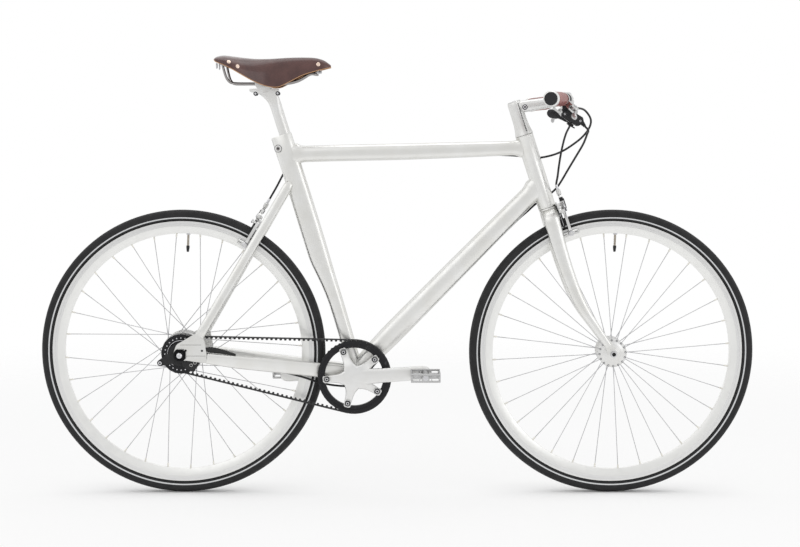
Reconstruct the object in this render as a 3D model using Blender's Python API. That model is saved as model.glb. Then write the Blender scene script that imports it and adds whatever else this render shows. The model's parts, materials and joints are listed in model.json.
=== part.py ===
"""City bike with a belt drive, a geared rear hub, rim brakes and a leather saddle.

Metres. +X points forwards, +Y to the rider's left, +Z up. The origin is on the ground,
midway between the two axles, in the plane of the wheels. The drive side is at -Y.
"""

import bpy
import bmesh
from math import asin, atan2, ceil, cos, pi, radians, sin, sqrt, tan
from mathutils import Matrix, Vector

MM = 0.001
GAP = 0.3 * MM
NEST = 0.45 * MM

# Wheels
WHEELBASE = 1030 * MM
TYRE_RADIUS = 342 * MM
TYRE_WIDTH = 32 * MM
RIM_OUTER_RADIUS = 315 * MM
RIM_DEPTH = 30 * MM
RIM_WIDTH = 20 * MM
RIM_SEAT_DEPTH = 4.5 * MM
SPOKE_RADIUS = 1.0 * MM
SPOKES_PER_SIDE = 16
WHEEL_SEGMENTS = 32
VALVE_LENGTH = 46 * MM

# Head and fork
HEAD_ANGLE = radians(72)
HEAD_LENGTH = 181.5 * MM
HEAD_RADIUS = 20 * MM
HEAD_WALL = 3 * MM
STEERER_RADIUS = 14.3 * MM
FORK_LENGTH = 378 * MM
FORK_RAKE = 40.7 * MM
FRONT_HUB_WIDTH = 100 * MM
FORK_TIP_THICKNESS = 6 * MM

# Frame
BB_DROP = 55 * MM
BB_RADIUS = 21 * MM
BB_WIDTH = 68 * MM
SEAT_ANGLE = radians(72.5)
REAR_HUB_WIDTH = 135 * MM
DROPOUT_THICKNESS = 7 * MM

# Belt drive
BELT_PITCH = 11 * MM
BELT_TEETH = 113
FRONT_TEETH = 50
REAR_TEETH = 24
BELT_WIDTH = 12 * MM
BELT_BACK = 1.9 * MM
BELT_TOOTH_HEIGHT = 3.6 * MM
BELT_LINE = -45 * MM

# Cranks and pedals
CRANK_LENGTH = 170 * MM
CRANK_ANGLE = radians(4)
BOLT_CIRCLE = 130 * MM

# Points that other sizes follow
REAR_AXLE = Vector((-WHEELBASE / 2, 0, TYRE_RADIUS))
FRONT_AXLE = Vector((WHEELBASE / 2, 0, TYRE_RADIUS))
FRONT_PITCH_RADIUS = FRONT_TEETH * BELT_PITCH / (2 * pi)
REAR_PITCH_RADIUS = REAR_TEETH * BELT_PITCH / (2 * pi)
RIM_INNER_RADIUS = RIM_OUTER_RADIUS - RIM_DEPTH
STEER_UP = Vector((-cos(HEAD_ANGLE), 0, sin(HEAD_ANGLE)))
STEER_FORWARD = Vector((sin(HEAD_ANGLE), 0, cos(HEAD_ANGLE)))
HEAD_BOTTOM = FRONT_AXLE + STEER_UP * FORK_LENGTH - STEER_FORWARD * FORK_RAKE
SEAT_UP = Vector((-cos(SEAT_ANGLE), 0, sin(SEAT_ANGLE)))
SEAT_FORWARD = Vector((sin(SEAT_ANGLE), 0, cos(SEAT_ANGLE)))
LEFT = Vector((0, 1, 0))


def belt_length_at(centres):
    """Length of an open belt round both pulleys whose centres lie this far apart."""
    lean = asin((FRONT_PITCH_RADIUS - REAR_PITCH_RADIUS) / centres)
    straight = 2 * centres * cos(lean)
    round_both = pi * (FRONT_PITCH_RADIUS + REAR_PITCH_RADIUS)
    return straight + round_both + 2 * lean * (FRONT_PITCH_RADIUS - REAR_PITCH_RADIUS)


def solve_belt_centres():
    """Distance between the pulleys at which the belt has its whole number of teeth."""
    low, high = 200 * MM, 800 * MM
    for _ in range(60):
        middle = (low + high) / 2
        if belt_length_at(middle) < BELT_TEETH * BELT_PITCH:
            low = middle
        else:
            high = middle
    return low


BELT_CENTRES = solve_belt_centres()
BB = REAR_AXLE + Vector((sqrt(BELT_CENTRES ** 2 - BB_DROP ** 2), 0, -BB_DROP))


def steer(up, forward, left=0.0):
    """A point given along the steering axis, ahead of it and to the left."""
    return HEAD_BOTTOM + STEER_UP * up + STEER_FORWARD * forward + LEFT * left


def seat(up, forward, left=0.0):
    """A point given along the seat tube from the bottom bracket, ahead of it and left."""
    return BB + SEAT_UP * up + SEAT_FORWARD * forward + LEFT * left


# Modelling helpers

def material(name, colour, roughness, metallic):
    made = bpy.data.materials.get(name) or bpy.data.materials.new(name)
    made.use_nodes = True
    shader = made.node_tree.nodes["Principled BSDF"]
    shader.inputs["Base Color"].default_value = (*colour, 1.0)
    shader.inputs["Roughness"].default_value = roughness
    shader.inputs["Metallic"].default_value = metallic
    return made


def polished():
    return material("polished_aluminium", (0.80, 0.80, 0.79), 0.28, 0.9)


def satin():
    return material("satin_aluminium", (0.84, 0.84, 0.82), 0.40, 0.5)


def steel():
    return material("bright_steel", (0.70, 0.70, 0.72), 0.2, 1.0)


def black_metal():
    return material("black_metal", (0.03, 0.03, 0.032), 0.35, 0.3)


def black_plastic():
    return material("black_plastic", (0.025, 0.025, 0.025), 0.5, 0.0)


def rubber():
    return material("rubber", (0.035, 0.035, 0.037), 0.75, 0.0)


def brown_leather():
    return material("brown_leather", (0.11, 0.045, 0.035), 0.4, 0.0)


def red_leather():
    return material("reddish_leather", (0.33, 0.13, 0.10), 0.55, 0.0)


def add_object(name, bm, surface):
    """Makes an object of a closed mesh, with its faces pointing out."""
    bmesh.ops.recalc_face_normals(bm, faces=bm.faces)
    mesh = bpy.data.meshes.new(name)
    bm.to_mesh(mesh)
    bm.free()
    mesh.materials.append(surface)
    made = bpy.data.objects.new(name, mesh)
    bpy.context.collection.objects.link(made)
    return made


def smooth(part, angle=35):
    part.data.shade_smooth()
    part.data.set_sharp_from_angle(angle=radians(angle))
    return part


def skin(name, rings, surface, loop=False):
    """Bridges rings of equally many points, and caps both ends unless they form a loop."""
    bm = bmesh.new()
    rows = [[bm.verts.new(point) for point in ring] for ring in rings]
    count = len(rows[0])
    pairs = list(zip(rows, rows[1:]))
    if loop:
        pairs.append((rows[-1], rows[0]))
    for first, second in pairs:
        for i in range(count):
            j = (i + 1) % count
            bm.faces.new((first[i], first[j], second[j], second[i]))
    if not loop:
        bm.faces.new(rows[0])
        bm.faces.new(rows[-1])
    return smooth(add_object(name, bm, surface))


def oval(centre, across, up, half_across, half_up, sides, power=2.0, turn=0.0):
    """A ring of points on a rounded box or, with power 2, on an ellipse."""
    points = []
    for i in range(sides):
        angle = turn + 2 * pi * i / sides
        x, z = cos(angle), sin(angle)
        size = (abs(x) ** power + abs(z) ** power) ** (-1 / power)
        points.append(centre + across * (half_across * size * x) + up * (half_up * size * z))
    return points


def frame_of(direction, hint):
    """Two unit vectors square to a direction, the second as near to the hint as can be."""
    forward = direction.normalized()
    across = hint.cross(forward).normalized()
    return across, forward.cross(across)


def swept(name, stations, surface, sides=12, power=2.0, hint=LEFT, loop=False, turn=0.0):
    """Lofts ovals along a path. A station is a centre, a half width and a half height."""
    rings = []
    for i, (centre, half_wide, half_high) in enumerate(stations):
        before = stations[max(i - 1, 0)][0]
        after = stations[min(i + 1, len(stations) - 1)][0]
        up, across = frame_of(after - before, hint)
        rings.append(oval(centre, across, up, half_wide, half_high, sides, power, turn))
    return skin(name, rings, surface, loop)


def turned(name, profile, centre, axis, surface, segments=24, hollow=False, turn=0.0):
    """Turns a profile of (place along the axis, radius) points about an axis."""
    hint = Vector((0, 0, 1)) if abs(axis.normalized().z) < 0.9 else Vector((1, 0, 0))
    across, up = frame_of(axis, hint)
    along = axis.normalized()
    rings = []
    for place, radius in profile:
        middle = centre + along * place
        rings.append(oval(middle, across, up, radius, radius, segments, turn=turn))
    return skin(name, rings, surface, loop=hollow)


def slab(name, outline, origin, across, up, low, high, surface):
    """An outline in the plane of two directions, extruded along their normal."""
    bm = bmesh.new()
    through = across.cross(up)
    flat = [origin + across * x + up * y for x, y in outline]
    near = [bm.verts.new(point + through * low) for point in flat]
    far = [bm.verts.new(point + through * high) for point in flat]
    bm.faces.new(near)
    bm.faces.new(far)
    for i in range(len(outline)):
        j = (i + 1) % len(outline)
        bm.faces.new((near[i], near[j], far[j], far[i]))
    return smooth(add_object(name, bm, surface), 30)


def plate(name, outline, low, high, surface, origin=Vector((0, 0, 0))):
    """A plate in the plane of the wheels, between two distances to the left."""
    ahead, up = Vector((1, 0, 0)), Vector((0, 0, 1))
    return slab(name, outline, origin, ahead, up, -high, -low, surface)


def rounded(points, radius, steps=3):
    """An outline with its corners rounded. A point may carry its own radius."""
    result = []
    count = len(points)
    for i, point in enumerate(points):
        corner = Vector(point[:2])
        size = point[2] if len(point) > 2 else radius
        to_last = Vector(points[i - 1][:2]) - corner
        to_next = Vector(points[(i + 1) % count][:2]) - corner
        half = to_last.angle(to_next) / 2
        if size <= 0 or half > radians(85):
            result.append((corner.x, corner.y))
            continue
        cut = min(size / tan(half), 0.45 * to_last.length, 0.45 * to_next.length)
        start = corner + to_last.normalized() * cut
        end = corner + to_next.normalized() * cut
        for k in range(steps + 1):
            t = k / steps
            bend = start * (1 - t) ** 2 + corner * (2 * t * (1 - t)) + end * t ** 2
            result.append((bend.x, bend.y))
    return result


def apply_boolean(part, others, operation):
    """Adds or cuts away other solids, which are used up."""
    for other in others:
        step = part.modifiers.new("step", "BOOLEAN")
        step.object = other
        step.operation = operation
        bpy.context.view_layer.update()
        whole = part.evaluated_get(bpy.context.evaluated_depsgraph_get())
        mesh = bpy.data.meshes.new_from_object(whole)
        part.modifiers.clear()
        part.data = mesh
        bpy.data.objects.remove(other)
    return smooth(part)


def fused(part, *others):
    return apply_boolean(part, others, "UNION")


def cut(part, *others):
    return apply_boolean(part, others, "DIFFERENCE")


def rod(name, start, end, radius, surface, sides=10):
    return turned(name, [(0, radius), ((end - start).length, radius)], start, end - start,
                  surface, sides)


def drill(start, end, radius, sides=16):
    """A cutter for a bore that clears a pin of this radius all round."""
    return rod("drill", start, end, (radius + GAP) / cos(pi / sides), steel(), sides)


def tube(name, start, end, outer, inner, surface, sides=24):
    length = (end - start).length
    profile = [(0, inner), (0, outer), (length, outer), (length, inner)]
    return turned(name, profile, start, end - start, surface, sides, hollow=True)


def curve_through(points, per_span=6):
    """A smooth curve through the points, as a list of points on it."""
    ends = [points[0] * 2 - points[1], *points, points[-1] * 2 - points[-2]]
    result = []
    for i in range(1, len(ends) - 2):
        p0, p1, p2, p3 = ends[i - 1:i + 3]
        for k in range(per_span):
            t = k / per_span
            pull = (p2 - p0) * t + (p0 * 2 - p1 * 5 + p2 * 4 - p3) * t ** 2
            pull += (p1 * 3 - p0 - p2 * 3 + p3) * t ** 3
            result.append(p1 + pull * 0.5)
    return result + [points[-1]]


def evenly(points, spacing):
    """Points at an even spacing along a line of points, both ends kept."""
    total = sum((b - a).length for a, b in zip(points, points[1:]))
    count = max(2, ceil(total / spacing))
    wanted = [total * i / count for i in range(count + 1)]
    result, gone, index = [points[0].copy()], 0.0, 1
    for a, b in zip(points, points[1:]):
        length = (b - a).length
        while index < count and wanted[index] <= gone + length:
            result.append(a.lerp(b, (wanted[index] - gone) / length))
            index += 1
        gone += length
    return result + [points[-1].copy()]


def cable(name, route, diameter, spacing, surface=None):
    """A cable as a curve with a round bevel, straight at both of its closed ends."""
    line = [route[0], *evenly(curve_through(route[1:-1]), spacing), route[-1]]
    curve = bpy.data.curves.new(name, "CURVE")
    curve.dimensions = "3D"
    curve.bevel_depth = diameter / 2
    curve.bevel_resolution = 2
    curve.use_fill_caps = True
    spline = curve.splines.new("POLY")
    spline.points.add(len(line) - 1)
    for knot, place in zip(spline.points, line):
        knot.co = (*place, 1.0)
    curve.materials.append(surface or black_plastic())
    made = bpy.data.objects.new(name, curve)
    bpy.context.collection.objects.link(made)
    return made


# Frame

SEAT_TUBE_LENGTH = 600 * MM
SEAT_TUBE_WIDE = (16.8 * MM, 22.0 * MM)
SEAT_TUBE_THICK = 16.2 * MM
SEAT_TUBE_LEAD = (1.5 * MM, 3.3 * MM)
SEATPOST_RADIUS = 13.6 * MM
SEATPOST_LEAD = 8.0 * MM
SEATPOST_INSERTION = 130 * MM
SEATPOST_BOTTOM = SEAT_TUBE_LENGTH - SEATPOST_INSERTION
SEATPOST_DROP = 60 * MM
CLAMP_DROP = 28 * MM
CLAMP_BOLT = (SEAT_TUBE_LENGTH - CLAMP_DROP, -10.5 * MM)
CLAMP_BOLT_RADIUS = 2.5 * MM
CLAMP_HEAD_RADIUS = 4.4 * MM
CLAMP_SPOT_PLACE = 13 * MM
TOP_TUBE_DROPS = (54.7 * MM, 31.2 * MM)
TOP_TUBE_ENDS = (seat(SEAT_TUBE_LENGTH - TOP_TUBE_DROPS[0], 18 * MM),
                 steer(HEAD_LENGTH - TOP_TUBE_DROPS[1], -13.7 * MM))
TOP_TUBE_HALF = ((15 * MM, 18.3 * MM), (15 * MM, 16.5 * MM))
DOWN_TUBE_RISE = 51.1 * MM
DOWN_TUBE_ENDS = (BB + Vector((11.2, 0, 17)) * MM, steer(DOWN_TUBE_RISE, -1.8 * MM))
DOWN_TUBE_HALF = ((20 * MM, 23.4 * MM), (17 * MM, 20.5 * MM))
STAY_HALF_WIDE = 7 * MM
STAY_CENTRE = REAR_HUB_WIDTH / 2 + DROPOUT_THICKNESS / 2
SEAT_STAY_END = REAR_AXLE + Vector((47, 0, 46)) * MM
SEAT_STAY_HALF = 11 * MM
CHAIN_STAY_END = REAR_AXLE + Vector((63.5, 0, -8)) * MM
CHAIN_STAY_HEAD = BB + Vector((-4.8, 0, 4)) * MM
CHAIN_STAY_HALF = (12 * MM, 15 * MM)
BRIDGE_REACH = 357 * MM
STAY_LEAN = radians(59.6)
SLEEVE_RADIUS = 16.5 * MM
SPINDLE_RADIUS = 12 * MM
BEARING_HEIGHT = 7 * MM
AXLE_RADIUS = 5 * MM
WASHER_THICKNESS = 2.5 * MM
WASHER_RADIUS = 17 * MM
BRAKE_BOLT_RADIUS = 3 * MM


def head_tube_shape(name, grow=0.0):
    low, high = steer(-grow, 0), steer(HEAD_LENGTH + grow, 0)
    return rod(name, low, high, HEAD_RADIUS + grow, satin(), 20)


def head_tube():
    """Round tube with a wider seat at each end for the hidden headset bearings."""
    tube_bore = HEAD_RADIUS - HEAD_WALL - 1.5 * MM
    seat_bore = HEAD_RADIUS - HEAD_WALL
    part = head_tube_shape("head_tube")
    bore = rod("bore", steer(-5 * MM, 0), steer(HEAD_LENGTH + 5 * MM, 0), tube_bore,
               satin(), 20)
    lower = rod("lower", steer(-5 * MM, 0), steer(BEARING_HEIGHT, 0), seat_bore, satin(), 20)
    upper = rod("upper", steer(HEAD_LENGTH - BEARING_HEIGHT, 0),
                steer(HEAD_LENGTH + 5 * MM, 0), seat_bore, satin(), 20)
    return cut(part, bore, lower, upper)


def headset_bearings():
    outer = HEAD_RADIUS - HEAD_WALL - GAP
    inner = (STEERER_RADIUS + GAP) / cos(pi / 20)
    tube("headset_bearing_lower", steer(0, 0), steer(BEARING_HEIGHT - GAP, 0), outer, inner,
         steel(), 20)
    tube("headset_bearing_upper", steer(HEAD_LENGTH - BEARING_HEIGHT + GAP, 0),
         steer(HEAD_LENGTH, 0), outer, inner, steel(), 20)


def seat_tube_shape(name, grow=0.0, low=-30 * MM):
    """Wide flattened tube that swells towards the top."""
    stations = []
    for place in sorted({low, 0, SEAT_TUBE_LENGTH + grow}):
        share = max(place, 0) / SEAT_TUBE_LENGTH
        wide = SEAT_TUBE_WIDE[0] + (SEAT_TUBE_WIDE[1] - SEAT_TUBE_WIDE[0]) * share
        lead = SEAT_TUBE_LEAD[0] + (SEAT_TUBE_LEAD[1] - SEAT_TUBE_LEAD[0]) * share
        centre = seat(place, lead)
        stations.append(oval(centre, SEAT_FORWARD, LEFT, wide + grow,
                             SEAT_TUBE_THICK + grow, 16, 2.6))
    return skin(name, stations, satin())


def seat_tube():
    part = seat_tube_shape("seat_tube", low=0)
    shell = rod("shell", BB - LEFT * BB_WIDTH, BB + LEFT * BB_WIDTH, BB_RADIUS + GAP,
                satin(), 20)
    bore = rod("bore", seat(SEATPOST_BOTTOM - SEATPOST_DROP - 5 * MM, SEATPOST_LEAD),
               seat(SEAT_TUBE_LENGTH + 5 * MM, SEATPOST_LEAD), SEATPOST_RADIUS + GAP,
               satin(), 20)
    up, forward = CLAMP_BOLT
    hole = drill(seat(up, forward, -40 * MM), seat(up, forward, 40 * MM), CLAMP_BOLT_RADIUS)
    spot = drill(seat(up, forward, -40 * MM), seat(up, forward, -CLAMP_SPOT_PLACE),
                 CLAMP_HEAD_RADIUS)
    slot = swept("slot", [(seat(SEAT_TUBE_LENGTH - 55 * MM, -15 * MM), 1.2 * MM, 15 * MM),
                          (seat(SEAT_TUBE_LENGTH + 5 * MM, -15 * MM), 1.2 * MM, 15 * MM)],
                 satin(), 4, hint=LEFT, turn=pi / 4, power=20)
    return cut(part, shell, bore, hole, spot, slot)


def seat_clamp_bolt():
    up, forward = CLAMP_BOLT
    head = -CLAMP_SPOT_PLACE - GAP
    profile = [(head - 3 * MM, CLAMP_HEAD_RADIUS - 1 * MM), (head - 2 * MM, CLAMP_HEAD_RADIUS),
               (head, CLAMP_HEAD_RADIUS), (head, CLAMP_BOLT_RADIUS),
               (CLAMP_SPOT_PLACE - 1 * MM, CLAMP_BOLT_RADIUS)]
    return turned("seat_clamp_bolt", profile, seat(up, forward), LEFT, steel(), 12)


def oval_tube(name, ends, halves, sides=16, power=2.6):
    """A straight tube between two points, higher than wide."""
    along = ends[1] - ends[0]
    up = along.cross(LEFT).normalized() * -1
    rings = []
    for centre, (half_wide, half_high) in zip(ends, halves):
        rings.append(oval(centre, LEFT, up, half_wide, half_high, sides, power))
    return skin(name, rings, satin())


def top_tube():
    part = oval_tube("top_tube", TOP_TUBE_ENDS, TOP_TUBE_HALF)
    return cut(part, seat_tube_shape("seat_cutter", NEST), head_tube_shape("head_cutter", NEST))


def down_tube_shape(name, grow=0.0):
    halves = [(wide + grow, high + grow) for wide, high in DOWN_TUBE_HALF]
    return oval_tube(name, DOWN_TUBE_ENDS, halves)


def down_tube():
    part = down_tube_shape("down_tube")
    shell = rod("shell", BB - LEFT * BB_WIDTH, BB + LEFT * BB_WIDTH, BB_RADIUS + GAP,
                satin(), 20)
    return cut(part, shell, seat_tube_shape("seat_cutter", NEST),
               head_tube_shape("head_cutter", NEST))


def bottom_bracket_shell():
    tube("bottom_bracket_shell", BB - LEFT * BB_WIDTH / 2, BB + LEFT * BB_WIDTH / 2,
         BB_RADIUS, SLEEVE_RADIUS + GAP, satin(), 20)


def bottom_bracket():
    """Two outboard bearing cups joined by the sleeve that runs through the shell."""
    half = BB_WIDTH / 2 + GAP
    cup = 8.5 * MM
    bore = (SPINDLE_RADIUS + GAP) / cos(pi / 20)
    profile = [(-half - cup, bore), (-half - cup, BB_RADIUS - 1 * MM),
               (-half, BB_RADIUS + 1 * MM), (-half, SLEEVE_RADIUS), (half, SLEEVE_RADIUS),
               (half, BB_RADIUS + 1 * MM), (half + cup, BB_RADIUS - 1 * MM),
               (half + cup, bore)]
    turned("bottom_bracket", profile, BB, LEFT, steel(), 16, hollow=True)


def stay_point(distance, side, lateral):
    """A point on a seat stay, measured from its lower end up along its lean."""
    run = Vector((cos(STAY_LEAN), 0, sin(STAY_LEAN)))
    return SEAT_STAY_END + run * distance + LEFT * side * lateral


def seat_stay_shape(name, side, grow=0.0):
    """Bowed tube from the dropout, past the wheel, to the back of the seat tube."""
    route = [(0, STAY_CENTRE), (30 * MM, 70 * MM), (150 * MM, 51 * MM), (262 * MM, 31 * MM),
             (330 * MM, 21.5 * MM), (440 * MM, 12 * MM)]
    rings = []
    run = Vector((cos(STAY_LEAN), 0, sin(STAY_LEAN)))
    across = run.cross(LEFT)
    for distance, lateral in route:
        rings.append(oval(stay_point(distance, side, lateral), LEFT, across,
                          STAY_HALF_WIDE + grow, SEAT_STAY_HALF + grow, 12, 2.8))
    return skin(name, rings, satin())


def seat_stay(name, side):
    return cut(seat_stay_shape(name, side), seat_tube_shape("seat_cutter", NEST))


def chain_stay(name, side):
    """Box-section tube that narrows to the dropout and runs inside the belt."""
    slim, deep = CHAIN_STAY_HALF
    route = [(0, STAY_CENTRE, slim), (0.063, STAY_CENTRE - 2.5 * MM, slim),
             (0.44, 46 * MM, 13 * MM), (0.76, 29.5 * MM, deep), (1, 21 * MM, deep)]
    rings = []
    for share, lateral, half_high in route:
        place = CHAIN_STAY_END.lerp(CHAIN_STAY_HEAD, share)
        rings.append(oval(place + LEFT * side * lateral, LEFT, Vector((0, 0, 1)),
                          STAY_HALF_WIDE, half_high, 12, 4))
    part = skin(name, rings, satin())
    shell = rod("shell", BB - LEFT * BB_WIDTH, BB + LEFT * BB_WIDTH, BB_RADIUS + GAP,
                satin(), 20)
    return cut(part, shell, seat_tube_shape("seat_cutter", NEST),
               down_tube_shape("down_cutter", NEST))


def dropout_outline():
    """Hooked plate whose slot opens to the rear and whose edges meet both stays."""
    across = Vector((sin(STAY_LEAN), 0, -cos(STAY_LEAN))) * SEAT_STAY_HALF
    low = SEAT_STAY_END + across
    high = SEAT_STAY_END - across
    front = CHAIN_STAY_END.x - GAP
    slot = AXLE_RADIUS + GAP
    x, z = REAR_AXLE.x, REAR_AXLE.z
    run = Vector((cos(STAY_LEAN), 0, sin(STAY_LEAN))) * GAP
    points = [(high.x - run.x, high.z - run.z, 0), (x - 8 * MM, z + 25 * MM, 14 * MM),
              (x - 15 * MM, z + slot + 1 * MM, 4 * MM), (x - 15 * MM, z + slot, 0)]
    for k in range(6):
        angle = radians(75 - 30 * k)
        reach = slot / cos(radians(15))
        points.append((x + reach * cos(angle), z + reach * sin(angle), 0))
    points += [(x - 13 * MM, z - slot, 0),
              (x - 10 * MM, z - 14 * MM, 4 * MM), (x + 16 * MM, z - 13 * MM, 8 * MM),
              (front, CHAIN_STAY_END.z - CHAIN_STAY_HALF[0], 0),
              (front, CHAIN_STAY_END.z + CHAIN_STAY_HALF[0], 0),
              (low.x - run.x, low.z - run.z, 0)]
    return rounded(points, 0, 3)


def dropout(name, side):
    inner = REAR_HUB_WIDTH / 2 * side
    outer = inner + DROPOUT_THICKNESS * side
    part = plate(name, dropout_outline(), min(inner, outer), max(inner, outer), satin())
    return part


def rear_axle():
    """Solid axle with a washer and a domed nut outside each dropout."""
    face = REAR_HUB_WIDTH / 2 + DROPOUT_THICKNESS + GAP
    washer = WASHER_THICKNESS + GAP
    half_profile = [(face + washer + 12 * MM, 3 * MM), (face + washer + 10 * MM, 6.5 * MM),
                    (face + washer + 7 * MM, 7.5 * MM), (face + washer, 7.5 * MM),
                    (face + washer, AXLE_RADIUS)]
    profile = [(-place, radius) for place, radius in half_profile]
    profile += list(reversed(half_profile))
    turned("rear_axle", profile, REAR_AXLE, LEFT, steel(), 12)


def axle_washer(name, side):
    """Keyed washer that covers the slot of the dropout."""
    face = REAR_HUB_WIDTH / 2 + DROPOUT_THICKNESS + GAP
    tube(name, REAR_AXLE + LEFT * side * face,
         REAR_AXLE + LEFT * side * (face + WASHER_THICKNESS), WASHER_RADIUS,
         HUB_BORE, black_metal(), 16)


def bridge_place():
    """Where the brake bridge crosses between the seat stays, just outside the tyre."""
    run = Vector((cos(STAY_LEAN), 0, sin(STAY_LEAN)))
    to_end = SEAT_STAY_END - REAR_AXLE
    half = run.dot(to_end)
    distance = -half + sqrt(half ** 2 - to_end.length_squared + BRIDGE_REACH ** 2)
    return SEAT_STAY_END + run * distance


def brake_bridge():
    """Short tube between the stays, bored along the wheel's plane for the brake's bolt."""
    centre = bridge_place()
    part = rod("brake_bridge", centre - LEFT * 30 * MM, centre + LEFT * 30 * MM, 7.5 * MM,
               satin(), 16)
    across = Vector((sin(STAY_LEAN), 0, -cos(STAY_LEAN)))
    hole = drill(centre - across * 20 * MM, centre + across * 20 * MM, BRAKE_BOLT_RADIUS)
    cutters = []
    for side in (-1, 1):
        cutters.append(seat_stay_shape("stay_cutter", side, NEST))
    return cut(part, hole, *cutters)


# Wheels

RIM_LIP = 2 * MM
RIM_SHOULDER_RADIUS = RIM_OUTER_RADIUS - 13 * MM
FRONT_FLANGE_RADIUS = 34 * MM
FRONT_FLANGE_PLACE = 35 * MM
FRONT_HUB_RADIUS = 15 * MM
REAR_FLANGE_RADIUS = 50 * MM
REAR_HUB_RADIUS = 42 * MM
REAR_FLANGE_PLACES = (-25 * MM, 28 * MM)
FLANGE_THICKNESS = 3.4 * MM
SPOKE_RIM_PLACE = 3 * MM
SPOKE_LACING = radians(45)
HUB_BORE = (AXLE_RADIUS + GAP) / cos(pi / 18)
DRIVER_RADIUS = 17 * MM


def tyre(name, centre):
    bead = RIM_WIDTH / 2 - RIM_LIP - 0.4 * MM
    floor = RIM_OUTER_RADIUS - RIM_SEAT_DEPTH + 0.5 * MM
    half = TYRE_WIDTH / 2
    crown = TYRE_RADIUS - RIM_OUTER_RADIUS
    side = [(bead, floor), (bead, RIM_OUTER_RADIUS + 0.4 * MM),
            (half * 0.93, RIM_OUTER_RADIUS + crown * 0.23),
            (half, RIM_OUTER_RADIUS + crown * 0.52),
            (half * 0.66, RIM_OUTER_RADIUS + crown * 0.87)]
    profile = [(-y, r) for y, r in side] + [(0, TYRE_RADIUS)] + list(reversed(side))
    return turned(name, profile, centre, LEFT, rubber(), WHEEL_SEGMENTS, hollow=True)


def rim(name, centre):
    """Deep rim with a seat for the tyre, and the valve that stands in it."""
    half = RIM_WIDTH / 2
    seat_radius = RIM_OUTER_RADIUS - RIM_SEAT_DEPTH
    side = [(half * 0.4, RIM_INNER_RADIUS), (half, RIM_SHOULDER_RADIUS),
            (half, RIM_OUTER_RADIUS), (half - RIM_LIP, seat_radius)]
    profile = [(-y, r) for y, r in side] + list(reversed(side))
    part = turned(name, profile, centre, LEFT, satin(), WHEEL_SEGMENTS, hollow=True)
    top = centre + Vector((0, 0, RIM_INNER_RADIUS + 4 * MM))
    stem = [(0, 3 * MM), (VALVE_LENGTH - 14 * MM, 3 * MM),
            (VALVE_LENGTH - 13 * MM, 4.2 * MM), (VALVE_LENGTH - 3 * MM, 3.6 * MM),
            (VALVE_LENGTH, 1.6 * MM)]
    valve = turned("valve", stem, top, Vector((0, 0, -1)), steel(), 8)
    return fused(part, valve)


def spoke(hub_place, hub_radius, hub_angle, rim_place, rim_angle, centre):
    outer = (RIM_INNER_RADIUS - GAP) * cos(pi / WHEEL_SEGMENTS) - GAP
    start = centre + Vector((cos(hub_angle), 0, sin(hub_angle))) * hub_radius
    end = centre + Vector((cos(rim_angle), 0, sin(rim_angle))) * outer
    start.y += hub_place
    end.y += rim_place
    return rod("spoke", start, end, SPOKE_RADIUS, steel(), 3)


def front_hub():
    """High-flange hub with radial spokes."""
    face = FRONT_HUB_WIDTH / 2 - GAP
    flange = FRONT_FLANGE_PLACE
    thick = FLANGE_THICKNESS / 2
    side = [(face, HUB_BORE), (face, 9 * MM), (flange + 6 * MM, 11 * MM),
            (flange + thick + 2 * MM, 22 * MM), (flange + thick, FRONT_FLANGE_RADIUS),
            (flange - thick, FRONT_FLANGE_RADIUS), (flange - 9 * MM, FRONT_HUB_RADIUS)]
    profile = side + [(-y, r) for y, r in reversed(side)]
    part = turned("front_hub", profile, FRONT_AXLE, LEFT, polished(), 18, hollow=True)
    spokes = []
    for k in range(2 * SPOKES_PER_SIDE):
        angle = 2 * pi * (k + 0.5) / (2 * SPOKES_PER_SIDE)
        side = 1 if k % 2 else -1
        spokes.append(spoke(side * flange, FRONT_FLANGE_RADIUS - 3 * MM, angle,
                            side * SPOKE_RIM_PLACE, angle, FRONT_AXLE))
    return fused(part, *spokes)


def rear_hub():
    """Shell of the geared hub with crossed spokes."""
    thick = FLANGE_THICKNESS / 2
    near, far = REAR_FLANGE_PLACES
    drive_end = BELT_LINE + BELT_WIDTH / 2 + 1.5 * MM
    far_end = REAR_HUB_WIDTH / 2 - GAP
    rim_of = REAR_FLANGE_RADIUS
    profile = [(drive_end, HUB_BORE), (drive_end, 33 * MM), (near - thick, 37 * MM),
               (near - thick, rim_of), (near + thick, rim_of),
               (near + thick, REAR_HUB_RADIUS), (far - thick, REAR_HUB_RADIUS),
               (far - thick, rim_of), (far + thick, rim_of), (far + thick, 38 * MM),
               (far + 10 * MM, 33 * MM), (far + 17 * MM, 22 * MM),
               (far_end - 8 * MM, 17 * MM), (far_end, 11 * MM), (far_end, HUB_BORE)]
    part = turned("rear_hub", profile, REAR_AXLE, LEFT, polished(), 20, hollow=True)
    spokes = []
    for flange, side, phase in ((near, -1, 0.25), (far, 1, 0.75)):
        for k in range(SPOKES_PER_SIDE):
            hub_angle = 2 * pi * (k + phase) / SPOKES_PER_SIDE
            outward = 1 if k % 2 else -1
            place = flange + outward * (thick - 0.3 * MM)
            spokes.append(spoke(place, rim_of - 3.5 * MM, hub_angle, side * SPOKE_RIM_PLACE,
                                hub_angle + outward * SPOKE_LACING, REAR_AXLE))
    return fused(part, *spokes)


def front_axle():
    """Through bolt with a head and a nut outside the fork's tips."""
    face = FRONT_HUB_WIDTH / 2 + FORK_TIP_THICKNESS + GAP
    profile = [(-face - 8 * MM, 3 * MM), (-face - 7 * MM, 7 * MM), (-face, 7 * MM),
               (-face, AXLE_RADIUS), (face, AXLE_RADIUS), (face, 7.5 * MM),
               (face + 8 * MM, 7 * MM), (face + 9 * MM, 3 * MM)]
    turned("front_axle", profile, FRONT_AXLE, LEFT, steel(), 12)


# Belt drive

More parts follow.
